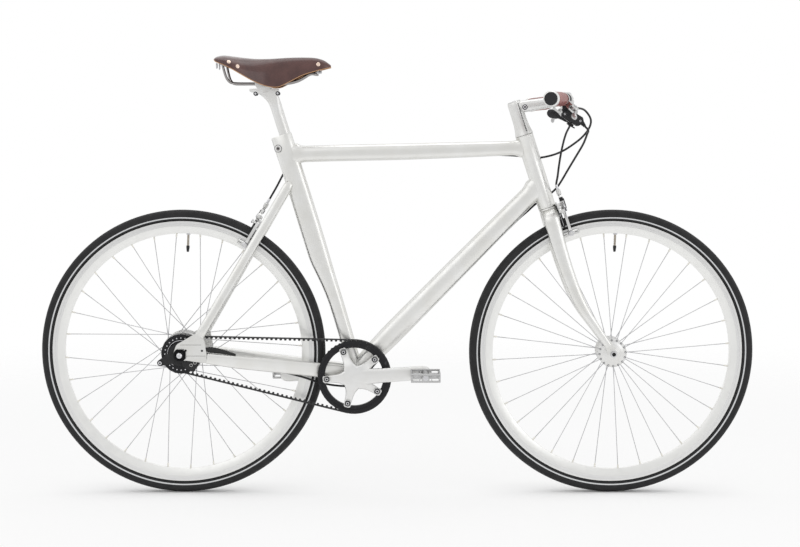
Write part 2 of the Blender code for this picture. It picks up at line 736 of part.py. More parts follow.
BELT_WEB = 0.6 * MM
TOOTH_BASE = 3.1 * MM
TOOTH_TIP = 2.1 * MM
FRONT_SPROCKET_BORE = 70 * MM
SPROCKET_FLANGE_RADIUS = 47.6 * MM
FLANGE_WALL = 1.6 * MM


def belt_place(distance):
    """Point on the belt's pitch line and the direction away from the loop there."""
    ahead = (BB - REAR_AXLE).normalized()
    side = Vector((-ahead.z, 0, ahead.x))
    lean = asin((FRONT_PITCH_RADIUS - REAR_PITCH_RADIUS) / BELT_CENTRES)
    straight = BELT_CENTRES * cos(lean)
    front_wrap = (pi + 2 * lean) * FRONT_PITCH_RADIUS
    rear_wrap = (pi - 2 * lean) * REAR_PITCH_RADIUS
    distance %= 2 * straight + front_wrap + rear_wrap
    top = side * cos(lean) - ahead * sin(lean)
    low = side * -cos(lean) - ahead * sin(lean)
    if distance < straight:
        start = REAR_AXLE + top * REAR_PITCH_RADIUS
        run = BB + top * FRONT_PITCH_RADIUS - start
        return start + run * (distance / straight), top
    distance -= straight
    if distance < front_wrap:
        angle = pi / 2 + lean - distance / FRONT_PITCH_RADIUS
        out = ahead * cos(angle) + side * sin(angle)
        return BB + out * FRONT_PITCH_RADIUS, out
    distance -= front_wrap
    if distance < straight:
        start = BB + low * FRONT_PITCH_RADIUS
        run = REAR_AXLE + low * REAR_PITCH_RADIUS - start
        return start + run * (distance / straight), low
    angle = -pi / 2 - lean - (distance - straight) / REAR_PITCH_RADIUS
    out = ahead * cos(angle) + side * sin(angle)
    return REAR_AXLE + out * REAR_PITCH_RADIUS, out


def belt_tooth(k):
    """Corners of one tooth and of the belt's back over it, seen from the side."""
    middle = (k + 0.5) * BELT_PITCH
    centre, out = belt_place(middle)
    along = Vector((out.z, 0, -out.x))
    corners = []
    for shift in (-TOOTH_BASE, TOOTH_BASE):
        place, away = belt_place(middle + shift)
        corners.append(place - away * BELT_WEB)
    tip = centre - out * (BELT_WEB + BELT_TOOTH_HEIGHT)
    tips = [tip - along * TOOTH_TIP, tip + along * TOOTH_TIP]
    back, away = belt_place(middle - BELT_PITCH / 2)
    return corners[0], tips[0], tips[1], corners[1], back + away * BELT_BACK


def belt():
    """Toothed belt in mesh with both sprockets."""
    bm = bmesh.new()
    half = LEFT * (BELT_WIDTH / 2)
    teeth = []
    for k in range(BELT_TEETH):
        points = [point + LEFT * BELT_LINE for point in belt_tooth(k)]
        teeth.append([[bm.verts.new(p + shift) for p in points] for shift in (-half, half)])
    for k in range(BELT_TEETH):
        here, after = teeth[k], teeth[(k + 1) % BELT_TEETH]
        for side in (0, 1):
            root_a, tip_a, tip_b, root_b, back = here[side]
            next_root, next_back = after[side][0], after[side][4]
            bm.faces.new((root_a, tip_a, tip_b, root_b))
            bm.faces.new((back, root_a, root_b, next_back))
            bm.faces.new((root_b, next_root, next_back))
        chain = (0, 1, 2, 3)
        for a, b in zip(chain, chain[1:]):
            bm.faces.new((here[0][a], here[0][b], here[1][b], here[1][a]))
        bm.faces.new((here[0][3], after[0][0], after[1][0], here[1][3]))
        bm.faces.new((here[0][4], after[0][4], after[1][4], here[1][4]))
    return smooth(add_object("belt", bm, rubber()), 30)


def sprocket(name, centre, teeth, pitch_radius, meshing_tooth, bore, surface):
    """Grooved ring whose grooves take the belt's teeth with a small clearance."""
    place, out = belt_place((meshing_tooth + 0.5) * BELT_PITCH)
    start = atan2(out.z, out.x)
    land = pitch_radius - BELT_WEB - GAP
    root = land - BELT_TOOTH_HEIGHT
    wide = (TOOTH_BASE + 1.2 * GAP) / land
    narrow = (TOOTH_TIP + 1.2 * GAP) / root
    bm = bmesh.new()
    half = LEFT * (BELT_WIDTH / 2)
    sectors = []
    for k in range(teeth):
        angle = start + 2 * pi * k / teeth
        polar = [(angle - wide, land), (angle - narrow, root), (angle + narrow, root),
                 (angle + wide, land), (angle - pi / teeth, bore)]
        points = [centre + LEFT * BELT_LINE + Vector((cos(a), 0, sin(a))) * r
                  for a, r in polar]
        sectors.append([[bm.verts.new(p + shift) for p in points] for shift in (-half, half)])
    for k in range(teeth):
        here, after = sectors[k], sectors[(k + 1) % teeth]
        for side in (0, 1):
            top_a, root_a, root_b, top_b, inner = here[side]
            next_top, next_inner = after[side][0], after[side][4]
            bm.faces.new((top_a, root_a, root_b, inner))
            bm.faces.new((inner, root_b, top_b, next_inner))
            bm.faces.new((top_b, next_top, next_inner))
        chain = (0, 1, 2, 3)
        for a, b in zip(chain, chain[1:]):
            bm.faces.new((here[0][a], here[0][b], here[1][b], here[1][a]))
        bm.faces.new((here[0][3], after[0][0], after[1][0], here[1][3]))
        bm.faces.new((here[0][4], after[0][4], after[1][4], here[1][4]))
    return smooth(add_object(name, bm, surface), 30)


def front_meshing_tooth():
    lean = asin((FRONT_PITCH_RADIUS - REAR_PITCH_RADIUS) / BELT_CENTRES)
    return ceil(BELT_CENTRES * cos(lean) / BELT_PITCH) + 4


def rear_meshing_tooth():
    return BELT_TEETH - 4


def front_sprocket():
    return sprocket("front_sprocket", BB, FRONT_TEETH, FRONT_PITCH_RADIUS,
                    front_meshing_tooth(), FRONT_SPROCKET_BORE, black_metal())


def rear_sprocket():
    """Sprocket with an outer guide flange, on the hub's driver."""
    inner = DRIVER_RADIUS - 2 * MM
    part = sprocket("rear_sprocket", REAR_AXLE, REAR_TEETH, REAR_PITCH_RADIUS,
                    rear_meshing_tooth(), inner, black_metal())
    outside = BELT_LINE - BELT_WIDTH / 2
    root = REAR_PITCH_RADIUS - BELT_WEB - GAP - BELT_TOOTH_HEIGHT - 1.5 * MM
    face = outside - GAP - FLANGE_WALL
    end = outside + BELT_WIDTH + 1 * MM
    driver = turned("driver", [(face, HUB_BORE), (face, SPROCKET_FLANGE_RADIUS),
                               (outside - GAP, SPROCKET_FLANGE_RADIUS),
                               (outside - GAP, root), (outside + 1 * MM, root),
                               (outside + 1 * MM, DRIVER_RADIUS), (end, DRIVER_RADIUS),
                               (end, HUB_BORE)],
                    REAR_AXLE, LEFT, black_metal(), 20, hollow=True)
    return fused(part, driver)


# Cranks and pedals

CRANK_BOSS_RADIUS = 21 * MM
SPIDER_OUTSIDE = 57.5 * MM
SPROCKET_FACE = -BELT_LINE + BELT_WIDTH / 2 + GAP
ARM_ANGLES = [radians(40.5 + 72 * k) for k in range(5)]
TAB_THICKNESS = 4 * MM
CRANK_RUN = Vector((cos(CRANK_ANGLE), 0, sin(CRANK_ANGLE)))
CRANK_SIDE = Vector((-sin(CRANK_ANGLE), 0, cos(CRANK_ANGLE)))
PEDAL_INSIDE = 74 * MM
PEDAL_WIDTH = 88 * MM
PEDAL_LENGTH = 70 * MM
PEDAL_HEIGHT = 22 * MM
PEDAL_AXLE_RADIUS = 6 * MM
CRANK_END_PLACE = 65 * MM


def spider_outline():
    """Five tapering arms round the boss, with a rounded tip at each bolt."""
    points = []
    tip = BOLT_CIRCLE / 2 + 8.5 * MM
    for angle in ARM_ANGLES:
        for radius, across, round_by in ((30, -13, 10), (tip / MM, -8, 4), (tip / MM, 8, 4),
                                         (30, 13, 10)):
            x = radius * MM * cos(angle) - across * MM * sin(angle)
            z = radius * MM * sin(angle) + across * MM * cos(angle)
            points.append((x, z, round_by * MM))
    return rounded(points, 0, 1)


def crank_arm(name, run, side):
    """Tapering forged arm from the boss to the pedal's axle."""
    shape = [(-21, 8, 60, 5), (-15, 16, 60, 7.5), (0, 21, 60, 8), (30, 19.5, 60.5, 7.5),
             (70, 17.5, 61.5, 6.8), (CRANK_LENGTH / MM - 6, 16.5, 65, 6.5),
             (CRANK_LENGTH / MM + 8, 14.5, 65, 6.3), (CRANK_LENGTH / MM + 14, 8, 65, 5)]
    rings = []
    for distance, half_high, place, half_thick in shape:
        centre = BB + run * distance * MM + LEFT * side * place * MM
        rings.append(oval(centre, CRANK_SIDE, LEFT, half_high * MM, half_thick * MM, 12, 3))
    return skin(name, rings, polished())


def pedal_axle(run, side):
    start = BB + run * CRANK_LENGTH + LEFT * side * (CRANK_END_PLACE - 3 * MM)
    end = BB + run * CRANK_LENGTH + LEFT * side * (PEDAL_INSIDE + PEDAL_WIDTH - 8 * MM)
    return rod("pedal_axle", start, end, PEDAL_AXLE_RADIUS, steel(), 14)


def crank_right():
    """Crank, five-arm spider, hollow spindle and the sprocket's bolts."""
    part = crank_arm("crank_right", CRANK_RUN, -1)
    spider = plate("spider", spider_outline(), -SPIDER_OUTSIDE, -SPROCKET_FACE, polished(), BB)
    boss = rod("boss", BB - LEFT * (SPIDER_OUTSIDE + 2 * MM), BB - LEFT * 44 * MM,
               CRANK_BOSS_RADIUS - 2 * MM, polished(), 24)
    spindle = rod("spindle", BB - LEFT * 55 * MM, BB + LEFT * 57 * MM, SPINDLE_RADIUS,
                  polished(), 24)
    bolts = []
    for angle in ARM_ANGLES:
        place = BB + Vector((cos(angle), 0, sin(angle))) * (BOLT_CIRCLE / 2)
        bolts.append(turned("bolt", [(-SPIDER_OUTSIDE - 1.5 * MM, 5 * MM),
                                     (-SPROCKET_FACE - 1 * MM, 5 * MM),
                                     (-SPROCKET_FACE - 1 * MM, 4 * MM),
                                     (-SPROCKET_FACE + TAB_THICKNESS, 4 * MM)],
                            place, LEFT, polished(), 6))
    return fused(part, spider, boss, spindle, pedal_axle(CRANK_RUN, -1), *bolts)


def crank_left():
    """Crank that clamps on the spindle's far end."""
    part = crank_arm("crank_left", -CRANK_RUN, 1)
    boss = rod("boss", BB + LEFT * 44 * MM, BB + LEFT * 60 * MM, CRANK_BOSS_RADIUS - 1 * MM,
               polished(), 24)
    part = fused(part, boss, pedal_axle(-CRANK_RUN, 1))
    bore = drill(BB + LEFT * 40 * MM, BB + LEFT * (57 * MM + GAP), SPINDLE_RADIUS, 24)
    return cut(part, bore)


def add_sprocket_tabs(part):
    """Tabs that reach in from the front sprocket behind the spider's arms."""
    tabs = []
    holes = []
    for angle in ARM_ANGLES:
        out = Vector((cos(angle), 0, sin(angle)))
        along = Vector((-sin(angle), 0, cos(angle)))
        inner, outer = BOLT_CIRCLE / 2 - 7.5 * MM, FRONT_SPROCKET_BORE + 4 * MM
        outline = rounded([(inner, -7 * MM, 4 * MM), (outer, -9 * MM, 0),
                           (outer, 9 * MM, 0), (inner, 7 * MM, 4 * MM)], 0, 1)
        face = BELT_LINE - BELT_WIDTH / 2
        tabs.append(slab("tab", outline, BB, out, along, -face - TAB_THICKNESS, -face,
                         black_metal()))
        place = BB + out * (BOLT_CIRCLE / 2)
        holes.append(drill(place - LEFT * 60 * MM, place - LEFT * 40 * MM, 4 * MM, 8))
    return cut(fused(part, *tabs), *holes)


def pedal(name, run, side):
    """Open cage round a bored barrel, with gripping edges fore and aft."""
    centre = BB + run * CRANK_LENGTH + LEFT * side * (PEDAL_INSIDE + PEDAL_WIDTH / 2)
    ahead, up = Vector((1, 0, 0)), Vector((0, 0, 1))
    half_long, half_wide = PEDAL_LENGTH / 2, PEDAL_WIDTH / 2
    outline = rounded([(-half_long, -half_wide), (half_long, -half_wide),
                       (half_long, half_wide), (-half_long, half_wide)], 12 * MM, 3)
    half_high = PEDAL_HEIGHT / 2
    part = slab(name, outline, centre, ahead, LEFT, -half_high, half_high, polished())
    cutters = []
    for end in (-1, 1):
        low, high = sorted((end * 12.5 * MM, end * (half_long - 4.5 * MM)))
        window = rounded([(low, -half_wide + 7 * MM), (high, -half_wide + 7 * MM),
                          (high, half_wide - 7 * MM), (low, half_wide - 7 * MM)], 3 * MM, 2)
        cutters.append(slab("window", window, centre, ahead, LEFT, -20 * MM, 20 * MM,
                            polished()))
    slot = rounded([(-half_wide + 12 * MM, -3.2 * MM), (half_wide - 12 * MM, -3.2 * MM),
                    (half_wide - 12 * MM, 3.2 * MM), (-half_wide + 12 * MM, 3.2 * MM)],
                   3 * MM, 2)
    for end in (-1, 1):
        low, high = sorted((end * 20 * MM, end * 50 * MM))
        cutters.append(slab("slot", slot, centre, LEFT, up, low, high, polished()))
    part = cut(part, *cutters)
    start = centre - LEFT * side * half_wide
    bore = drill(start - LEFT * side * 5 * MM, start + LEFT * side * (PEDAL_WIDTH - 7 * MM),
                 PEDAL_AXLE_RADIUS)
    return cut(part, bore)


# Steering

STEM_HEIGHT = 82.5 * MM
STEM_TOP = HEAD_LENGTH + STEM_HEIGHT
STEM_REACH = 117.7 * MM
BAR_CENTRE = steer(STEM_TOP - 33 * MM, STEM_REACH)
BAR_RADIUS = 11.1 * MM
BAR_CLAMP_RADIUS = 12.7 * MM
BAR_STRAIGHT = 60 * MM
BAR_BEND_END = 110 * MM
BAR_HALF_WIDTH = 290 * MM
BAR_SWEEP = radians(16.2)
BAR_DROP = 4 * MM
GRIP_INNER = 172 * MM
GRIP_RADIUS = 16.2 * MM
GRIP_RING_RADIUS = 18.6 * MM
BRAKE_DROP = 17 * MM
STEERER_TOP = STEM_TOP - 9 * MM
LEVER_LEAN = radians(-40)
PERCH_PLACE = 150 * MM
SHIFTER_PLACE = 126 * MM


def bar_point(left):
    """Centre of the handlebar at a distance to the left of the wheels' plane."""
    out = abs(left)
    back = 0.0
    if out > BAR_STRAIGHT:
        bend = min(out, BAR_BEND_END) - BAR_STRAIGHT
        back = tan(BAR_SWEEP) * bend ** 2 / (2 * (BAR_BEND_END - BAR_STRAIGHT))
    if out > BAR_BEND_END:
        back += tan(BAR_SWEEP) * (out - BAR_BEND_END)
    drop = BAR_DROP * max(0.0, out - BAR_STRAIGHT) / (BAR_HALF_WIDTH - BAR_STRAIGHT)
    return BAR_CENTRE + Vector((-back, left, -drop))


def bar_run(left):
    """Direction of the bar there, pointing away from the wheels' plane."""
    step = 1 * MM if left > 0 else -1 * MM
    return (bar_point(left + step) - bar_point(left)).normalized()


def handlebar():
    """Bar with a thicker middle and both ends swept back."""
    half = [(0, BAR_CLAMP_RADIUS), (30, BAR_CLAMP_RADIUS), (44, BAR_RADIUS), (60, BAR_RADIUS),
            (77, BAR_RADIUS), (94, BAR_RADIUS), (110, BAR_RADIUS),
            (BAR_HALF_WIDTH / MM - 2, BAR_RADIUS)]
    places = [(-y, r) for y, r in reversed(half[1:])] + half
    stations = [(bar_point(y * MM), r, r) for y, r in places]
    return swept("handlebar", stations, polished(), 12, hint=Vector((0, 0, 1)))


def grip(name, side):
    """Leather sleeve with a clamping ring and a plug at the bar's end."""
    start, end = bar_point(side * GRIP_INNER), bar_point(side * BAR_HALF_WIDTH)
    length = (end - start).length
    bore = (BAR_RADIUS + GAP) / cos(pi / 14)
    profile = [(0, bore), (0, GRIP_RADIUS), (length - 10 * MM, GRIP_RADIUS),
               (length - 10 * MM, GRIP_RING_RADIUS), (length - 2 * MM, GRIP_RING_RADIUS),
               (length + 1.5 * MM, GRIP_RADIUS - 1 * MM), (length + 1.5 * MM, 1 * MM),
               (length - 1.5 * MM, 1 * MM), (length - 1.5 * MM, bore)]
    return turned(name, profile, start, end - start, red_leather(), 14, hollow=True)


def stem():
    """Stem that clamps the steerer with a split column and holds the bar ahead of it."""
    rings = []
    for place, forward, half in ((HEAD_LENGTH + GAP, 0.5, 18.5), (HEAD_LENGTH + 12 * MM, 0.5, 17),
                                 (STEM_TOP - 8 * MM, 0.5, 17), (STEM_TOP, 0.5, 15)):
        rings.append(oval(steer(place, forward * MM), STEER_FORWARD, LEFT, half * MM,
                          half * MM, 20, 2.2))
    part = skin("stem", rings, polished())
    start = steer(STEM_TOP - 26 * MM, 6 * MM)
    run = (BAR_CENTRE - start).normalized()
    up = LEFT.cross(run) * -1
    extension = []
    for distance, half_high, half_wide in ((0, 15, 13), (25, 13.5, 13), (70, 12.5, 14),
                                           ((BAR_CENTRE - start).length / MM - 10, 12, 17)):
        extension.append(oval(start + run * distance * MM, LEFT, up, half_wide * MM,
                              half_high * MM, 12, 2.6))
    neck = skin("neck", extension, polished())
    collar = rod("collar", BAR_CENTRE - LEFT * 21 * MM, BAR_CENTRE + LEFT * 21 * MM,
                 19 * MM, polished(), 20)
    side_bolt = turned("side_bolt", [(-17.5 * MM, 4 * MM), (-16.5 * MM, 5.6 * MM),
                                     (16.5 * MM, 5.6 * MM), (17.5 * MM, 4 * MM)],
                       steer(STEM_TOP - 21 * MM, 20 * MM), LEFT, polished(), 10)
    part = fused(part, neck, collar, side_bolt)
    bore = drill(steer(HEAD_LENGTH - 5 * MM, 0), steer(STEERER_TOP + GAP, 0),
                 STEERER_RADIUS, 20)
    bar_bore = drill(BAR_CENTRE - LEFT * 30 * MM, BAR_CENTRE + LEFT * 30 * MM,
                     BAR_CLAMP_RADIUS, 20)
    return cut(part, bore, bar_bore)


def fork():
    """Steerer, crown and two curved tapering blades with their tips."""
    half_path = [(-14, 0, 0, 19.6, 12.5), (-17, 0, 16, 19.5, 13), (-29, -0.5, 28.5, 19, 12)]
    blade = [(0.159, -0.05, -15.5, 18, 9.5), (0.278, -0.093, -11, 17, 9),
             (0.423, -0.086, -7, 15.6, 8.5), (0.574, -0.012, -3, 14.3, 8),
             (0.688, 0.172, 0, 12.3, 7.5), (0.778, 0.418, 1.5, 10.7, 7),
             (0.873, 0.688, 2.6, 9, 6), (0.942, 0.872, 3.2, 8, 4.5)]
    for down, ahead, beside, half_fore, half_thick in blade:
        half_path.append((-down * FORK_LENGTH / MM, ahead * FORK_RAKE / MM,
                          FRONT_HUB_WIDTH / 2 / MM + beside, half_fore, half_thick))
    places = []
    for up, forward, left, half_fore, half_thick in reversed(half_path[1:]):
        places.append((up, forward, -left, half_fore, half_thick))
    places += half_path
    rings = []
    centres = [steer(p[0] * MM, p[1] * MM, p[2] * MM) for p in places]
    for i, (up, forward, left, half_fore, half_thick) in enumerate(places):
        run = centres[min(i + 1, len(places) - 1)] - centres[max(i - 1, 0)]
        thick_way = run.cross(STEER_FORWARD).normalized()
        fore_way = thick_way.cross(run).normalized()
        rings.append(oval(centres[i], fore_way, thick_way, half_fore * MM, half_thick * MM,
                          12, 2.3))
    part = skin("fork", rings, satin())
    race = rod("race", steer(-22 * MM, 0), steer(-GAP, 0), HEAD_RADIUS - 0.4 * MM, satin(), 20)
    steerer = rod("steerer", steer(-10 * MM, 0), steer(STEERER_TOP, 0), STEERER_RADIUS,
                  satin(), 20)
    extras = [race, steerer]
    inner = FRONT_HUB_WIDTH / 2
    for side in (-1, 1):
        outline = rounded([(-8 * MM, 34 * MM, 2 * MM), (8 * MM, 34 * MM, 2 * MM),
                           (12 * MM, 4 * MM, 8 * MM), (8 * MM, -11 * MM, 8 * MM),
                           (-8 * MM, -11 * MM, 8 * MM), (-12 * MM, 4 * MM, 8 * MM)], 0, 2)
        low, high = sorted((side * inner, side * (inner + FORK_TIP_THICKNESS)))
        lean = radians(28)
        ahead = Vector((cos(lean), 0, sin(lean)))
        up = Vector((-sin(lean), 0, cos(lean)))
        extras.append(slab("tip", outline, FRONT_AXLE, ahead, up, -high, -low, satin()))
    part = fused(part, *extras)
    slots = []
    for side in (-1, 1):
        reach = AXLE_RADIUS + GAP
        outline = [(-reach, -30 * MM), (reach, -30 * MM)]
        for k in range(6):
            angle = radians(15 + 30 * k)
            size = reach / cos(radians(15))
            outline.append((size * cos(angle), size * sin(angle)))
        low, high = sorted((side * (inner - 5 * MM), side * (inner + 10 * MM)))
        slots.append(slab("slot", outline, FRONT_AXLE, Vector((1, 0, 0)), Vector((0, 0, 1)),
                          -high, -low, satin()))
    slots.append(drill(steer(-BRAKE_DROP, 6 * MM), steer(-BRAKE_DROP, 60 * MM),
                       BRAKE_BOLT_RADIUS, 12))
    return cut(part, *slots)


# Brake levers and shifter

LEVER_PIVOT = (6 * MM, 34 * MM)
BARREL_LENGTH = 16 * MM
SHIFTER_LEAN = radians(147)
SHIFTER_PIVOT = Vector((14 * MM, 0, -54.5 * MM))
PIN_RADIUS = 2.5 * MM


def lever_frame(side):
    """Origin and axes at a brake lever: out along the bar, towards the fingers, across."""
    place = side * PERCH_PLACE
    out = bar_run(place)
    ahead = Vector((cos(LEVER_LEAN), 0, sin(LEVER_LEAN)))
    ahead = (ahead - out * ahead.dot(out)).normalized()
    return bar_point(place), out, ahead, out.cross(ahead)


def lever_point(side, out, ahead, across=0.0):
    origin, u, v, w = lever_frame(side)
    return origin + u * out + v * ahead + w * across


def brake_perch(name, side):
    """Clamp on the bar with two ears, the lever's pin and the cable's barrel."""
    origin, u, v, w = lever_frame(side)
    outline = rounded([(-14 * MM, 8 * MM), (12 * MM, 8 * MM), (17 * MM, 26 * MM),
                       (15 * MM, 42 * MM), (0, 43 * MM), (-15 * MM, 34 * MM)], 5 * MM, 1)
    part = slab(name, outline, origin, u, v, -7 * MM, 7 * MM, polished())
    ring = rod("ring", lever_point(side, -7 * MM, 0), lever_point(side, 7 * MM, 0), 15 * MM,
               polished(), 18)
    barrel = rod("barrel", lever_point(side, -10 * MM, 30 * MM),
                 lever_point(side, -14 * MM - BARREL_LENGTH, 30 * MM), 4.2 * MM, polished(), 8)
    part = fused(part, ring, barrel)
    bore = drill(lever_point(side, -40 * MM, 0), lever_point(side, 40 * MM, 0), BAR_RADIUS, 18)
    gap = slab("gap", [(-4 * MM, 22.5 * MM), (40 * MM, 22.5 * MM), (40 * MM, 60 * MM),
                       (-4 * MM, 60 * MM)], origin, u, v, -3.4 * MM, 3.4 * MM, polished())
    part = cut(part, bore, gap)
    out, ahead = LEVER_PIVOT
    pin = rod("pin", lever_point(side, out, ahead, -6.5 * MM),
              lever_point(side, out, ahead, 6.5 * MM), PIN_RADIUS, polished(), 10)
    return fused(part, pin)


def brake_lever(name, side):
    """Long two-finger blade that swings on the perch's pin."""
    origin, u, v, w = lever_frame(side)
    out, ahead = LEVER_PIVOT
    part = rod(name, lever_point(side, out, ahead, -3 * MM),
               lever_point(side, out, ahead, 3 * MM), 8.6 * MM, polished(), 18)
    shape = [(10, 35.5, 4, 2.9), (22, 39.5, 4, 3.2), (34, 41, 4, 5), (60, 41.5, 3.8, 6),
             (88, 43.5, 3.6, 6.2), (104, 48, 3.6, 6), (114, 53, 3, 4.5)]
    rings = []
    for place, towards, half_thin, half_wide in shape:
        centre = lever_point(side, place * MM, towards * MM)
        rings.append(oval(centre, w, v, half_wide * MM, half_thin * MM, 10, 2.3))
    part = fused(part, skin("blade", rings, polished()))
    hole = drill(lever_point(side, out, ahead, -10 * MM),
                 lever_point(side, out, ahead, 10 * MM), PIN_RADIUS, 12)
    return cut(part, hole)


def shifter_frame():
    """Origin at the shifter's pivot, with axes back along its levers, out and down."""
    back = Vector((cos(SHIFTER_LEAN), 0, sin(SHIFTER_LEAN)))
    out = -LEFT
    return bar_point(-SHIFTER_PLACE) + SHIFTER_PIVOT, back, out, out.cross(back)


def shifter_body():
    """Housing hung under the bar, with the pin that both of its levers turn on."""
    origin, back, out, down = shifter_frame()
    centre = bar_point(-SHIFTER_PLACE)
    run = bar_run(-SHIFTER_PLACE)
    under = [(-8 * MM, -30 * MM), (12 * MM, -25 * MM), (40 * MM, -42 * MM), (43 * MM, -55 * MM),
             (28 * MM, -62.5 * MM), (-8 * MM, -39.5 * MM)]
    part = plate("shifter_body", rounded(under, 5 * MM, 2), -15 * MM, 15 * MM,
                 black_plastic(), centre)
    neck = plate("neck", [(-7 * MM, -8 * MM), (7 * MM, -8 * MM), (10 * MM, -34 * MM),
                          (-5 * MM, -34 * MM)], -6 * MM, 6 * MM, black_plastic(), centre)
    ring = rod("ring", centre - run * 6.5 * MM, centre + run * 6.5 * MM, 14.2 * MM,
               black_plastic(), 18)
    outlet = rod("outlet", centre + Vector((36 * MM, 0, -50 * MM)),
                 centre + Vector((46 * MM, 0, -62 * MM)), 4 * MM, black_plastic(), 10)
    pin = rod("pin", origin - down * 6 * MM, origin + down * 8.5 * MM, PIN_RADIUS,
              black_plastic(), 10)
    part = fused(part, neck, ring, outlet, pin)
    bore = drill(centre - run * 30 * MM, centre + run * 30 * MM, BAR_RADIUS, 18)
    return cut(part, bore)


def shift_lever(name, outline, layer, thickness):
    """Flat lever on the shifter's pin, in a layer below its housing."""
    origin, back, out, down = shifter_frame()
    turned_outline = [(y, x) for x, y in outline]
    part = slab(name, turned_outline, origin, out, back, layer, layer + thickness,
                black_plastic())
    hole = drill(origin - down * 20 * MM, origin + down * 20 * MM, PIN_RADIUS, 12)
    return cut(part, hole)


def shifter_levers():
    main = rounded([(-8, -6, 5), (0, -8, 5), (14, -6, 4), (32, -9, 4), (47, -6, 6), (49, 4, 5),
                    (40, 10, 6), (28, 7, 6), (12, 5, 4), (0, 8, 5), (-8, 6, 5)], 0, 2)
    release = rounded([(7, -6, 4), (7, 6, 4), (-4, 8, 4), (-24, 17, 4), (-32, 13, 4),
                       (-27, 5, 5), (-8, -5, 5)], 0, 2)
    shift_lever("shifter_main_lever", [(x * MM, y * MM) for x, y in main], 0.7 * MM, 3.4 * MM)
    shift_lever("shifter_release_lever", [(x * MM, y * MM) for x, y in release], 4.6 * MM,
                2.8 * MM)


# Brakes

FRONT_STANDOFF = 0.6 * MM
REAR_STANDOFF = 8.8 * MM
PAD_CENTRE = -57.5 * MM
PAD_INNER = RIM_WIDTH / 2 + 2 * MM
SIDE_PIVOT = (-20 * MM, 15.5 * MM)
SIDE_PIVOT_RADIUS = 4 * MM
ARM_LAYERS = ((23 * MM, 29.5 * MM), (30.2 * MM, 36.7 * MM))


def brake_frame(which):
    """Origin on the brake's bolt, with axes across, out from the wheel and off the mount."""
    if which == "front":
        return steer(-BRAKE_DROP, FRONT_STANDOFF), LEFT, STEER_UP, STEER_FORWARD
    run = Vector((cos(STAY_LEAN), 0, sin(STAY_LEAN)))
    off = (-LEFT).cross(run)
    return bridge_place() - off * REAR_STANDOFF, -LEFT, run, off


def brake_bolt(name, which):
    """Mounting bolt, backing plate and side pivot of a dual-pivot brake."""
    origin, u, v, w = brake_frame(which)
    back = 20.2 * MM
    outline = rounded([(-9, -9), (9, -9), (9, 8), (-14, 24), (-29, 22), (-29, 9)], 6, 2)
    part = slab(name, [(x * MM, y * MM) for x, y in outline], origin, u, v, back,
                ARM_LAYERS[0][0] - GAP, polished())
    tail = {"front": 8 * MM, "rear": -2 * MM}[which]
    bolt = turned("bolt", [(tail, BRAKE_BOLT_RADIUS), (38.5 * MM, BRAKE_BOLT_RADIUS),
                           (38.5 * MM, 5 * MM), (41 * MM, 5 * MM)],
                  origin, w, polished(), 9)
    place = origin + u * SIDE_PIVOT[0] + v * SIDE_PIVOT[1]
    pin = turned("pin", [(21 * MM, SIDE_PIVOT_RADIUS), (37 * MM, SIDE_PIVOT_RADIUS),
                         (37 * MM, 6 * MM), (39 * MM, 5.4 * MM)], place, w, polished(), 9)
    return fused(part, bolt, pin)


def brake_pad(name, which, side, layer):
    """Rubber block and its holder, alongside the rim."""
    origin, u, v, w = brake_frame(which)
    middle = (layer[0] + layer[1]) / 2
    sizes = [(-19, 3.4, 4), (-17, 4.2, 4.6), (17, 4.2, 4.6), (19, 3.4, 4)]
    rings = []
    for along, half_thick, half_high in sizes:
        centre = origin + u * side * (PAD_INNER + 4.2 * MM) + v * PAD_CENTRE
        centre += w * (middle + along * MM)
        rings.append(oval(centre, u, v, half_thick * MM, half_high * MM, 8, 4, pi / 8))
    block = skin(name, rings, rubber())
    start = origin + u * side * (PAD_INNER + 7 * MM) + v * PAD_CENTRE + w * middle
    post = rod("post", start, start + u * side * 17.5 * MM, 3.2 * MM, steel(), 8)
    return fused(block, post)


def brake_arm(name, which, outline, layer, hole_place, hole_radius, side, clamp):
    """Curved arm round the tyre, with its pad, its pivot hole and its cable clamp."""
    origin, u, v, w = brake_frame(which)
    part = slab(name, outline, origin, u, v, layer[0], layer[1], polished())
    part = fused(part, clamp(origin, u, v, w, layer), brake_pad("pad", which, side, layer))
    place = origin + u * hole_place[0] + v * hole_place[1]
    hole = drill(place, place + w * 60 * MM, hole_radius, 14)
    return cut(part, hole)


def anchor_clamp(origin, u, v, w, layer):
    """Bolt that grips the inner cable."""
    place = origin - u * 42 * MM + v * 3 * MM
    return turned("clamp", [(layer[0] - 3 * MM, 5 * MM), (layer[1] + 4 * MM, 5 * MM)],
                  place, w, polished(), 9)


def barrel_adjuster(origin, u, v, w, layer):
    """Socket that the cable's housing ends in."""
    middle = (layer[0] + layer[1]) / 2
    place = origin - u * 37 * MM + v * 26 * MM + w * middle
    return turned("barrel", [(0, 3.6 * MM), (14 * MM, 3.6 * MM), (14 * MM, 5 * MM),
                             (26 * MM, 5 * MM)], place, v, polished(), 10)


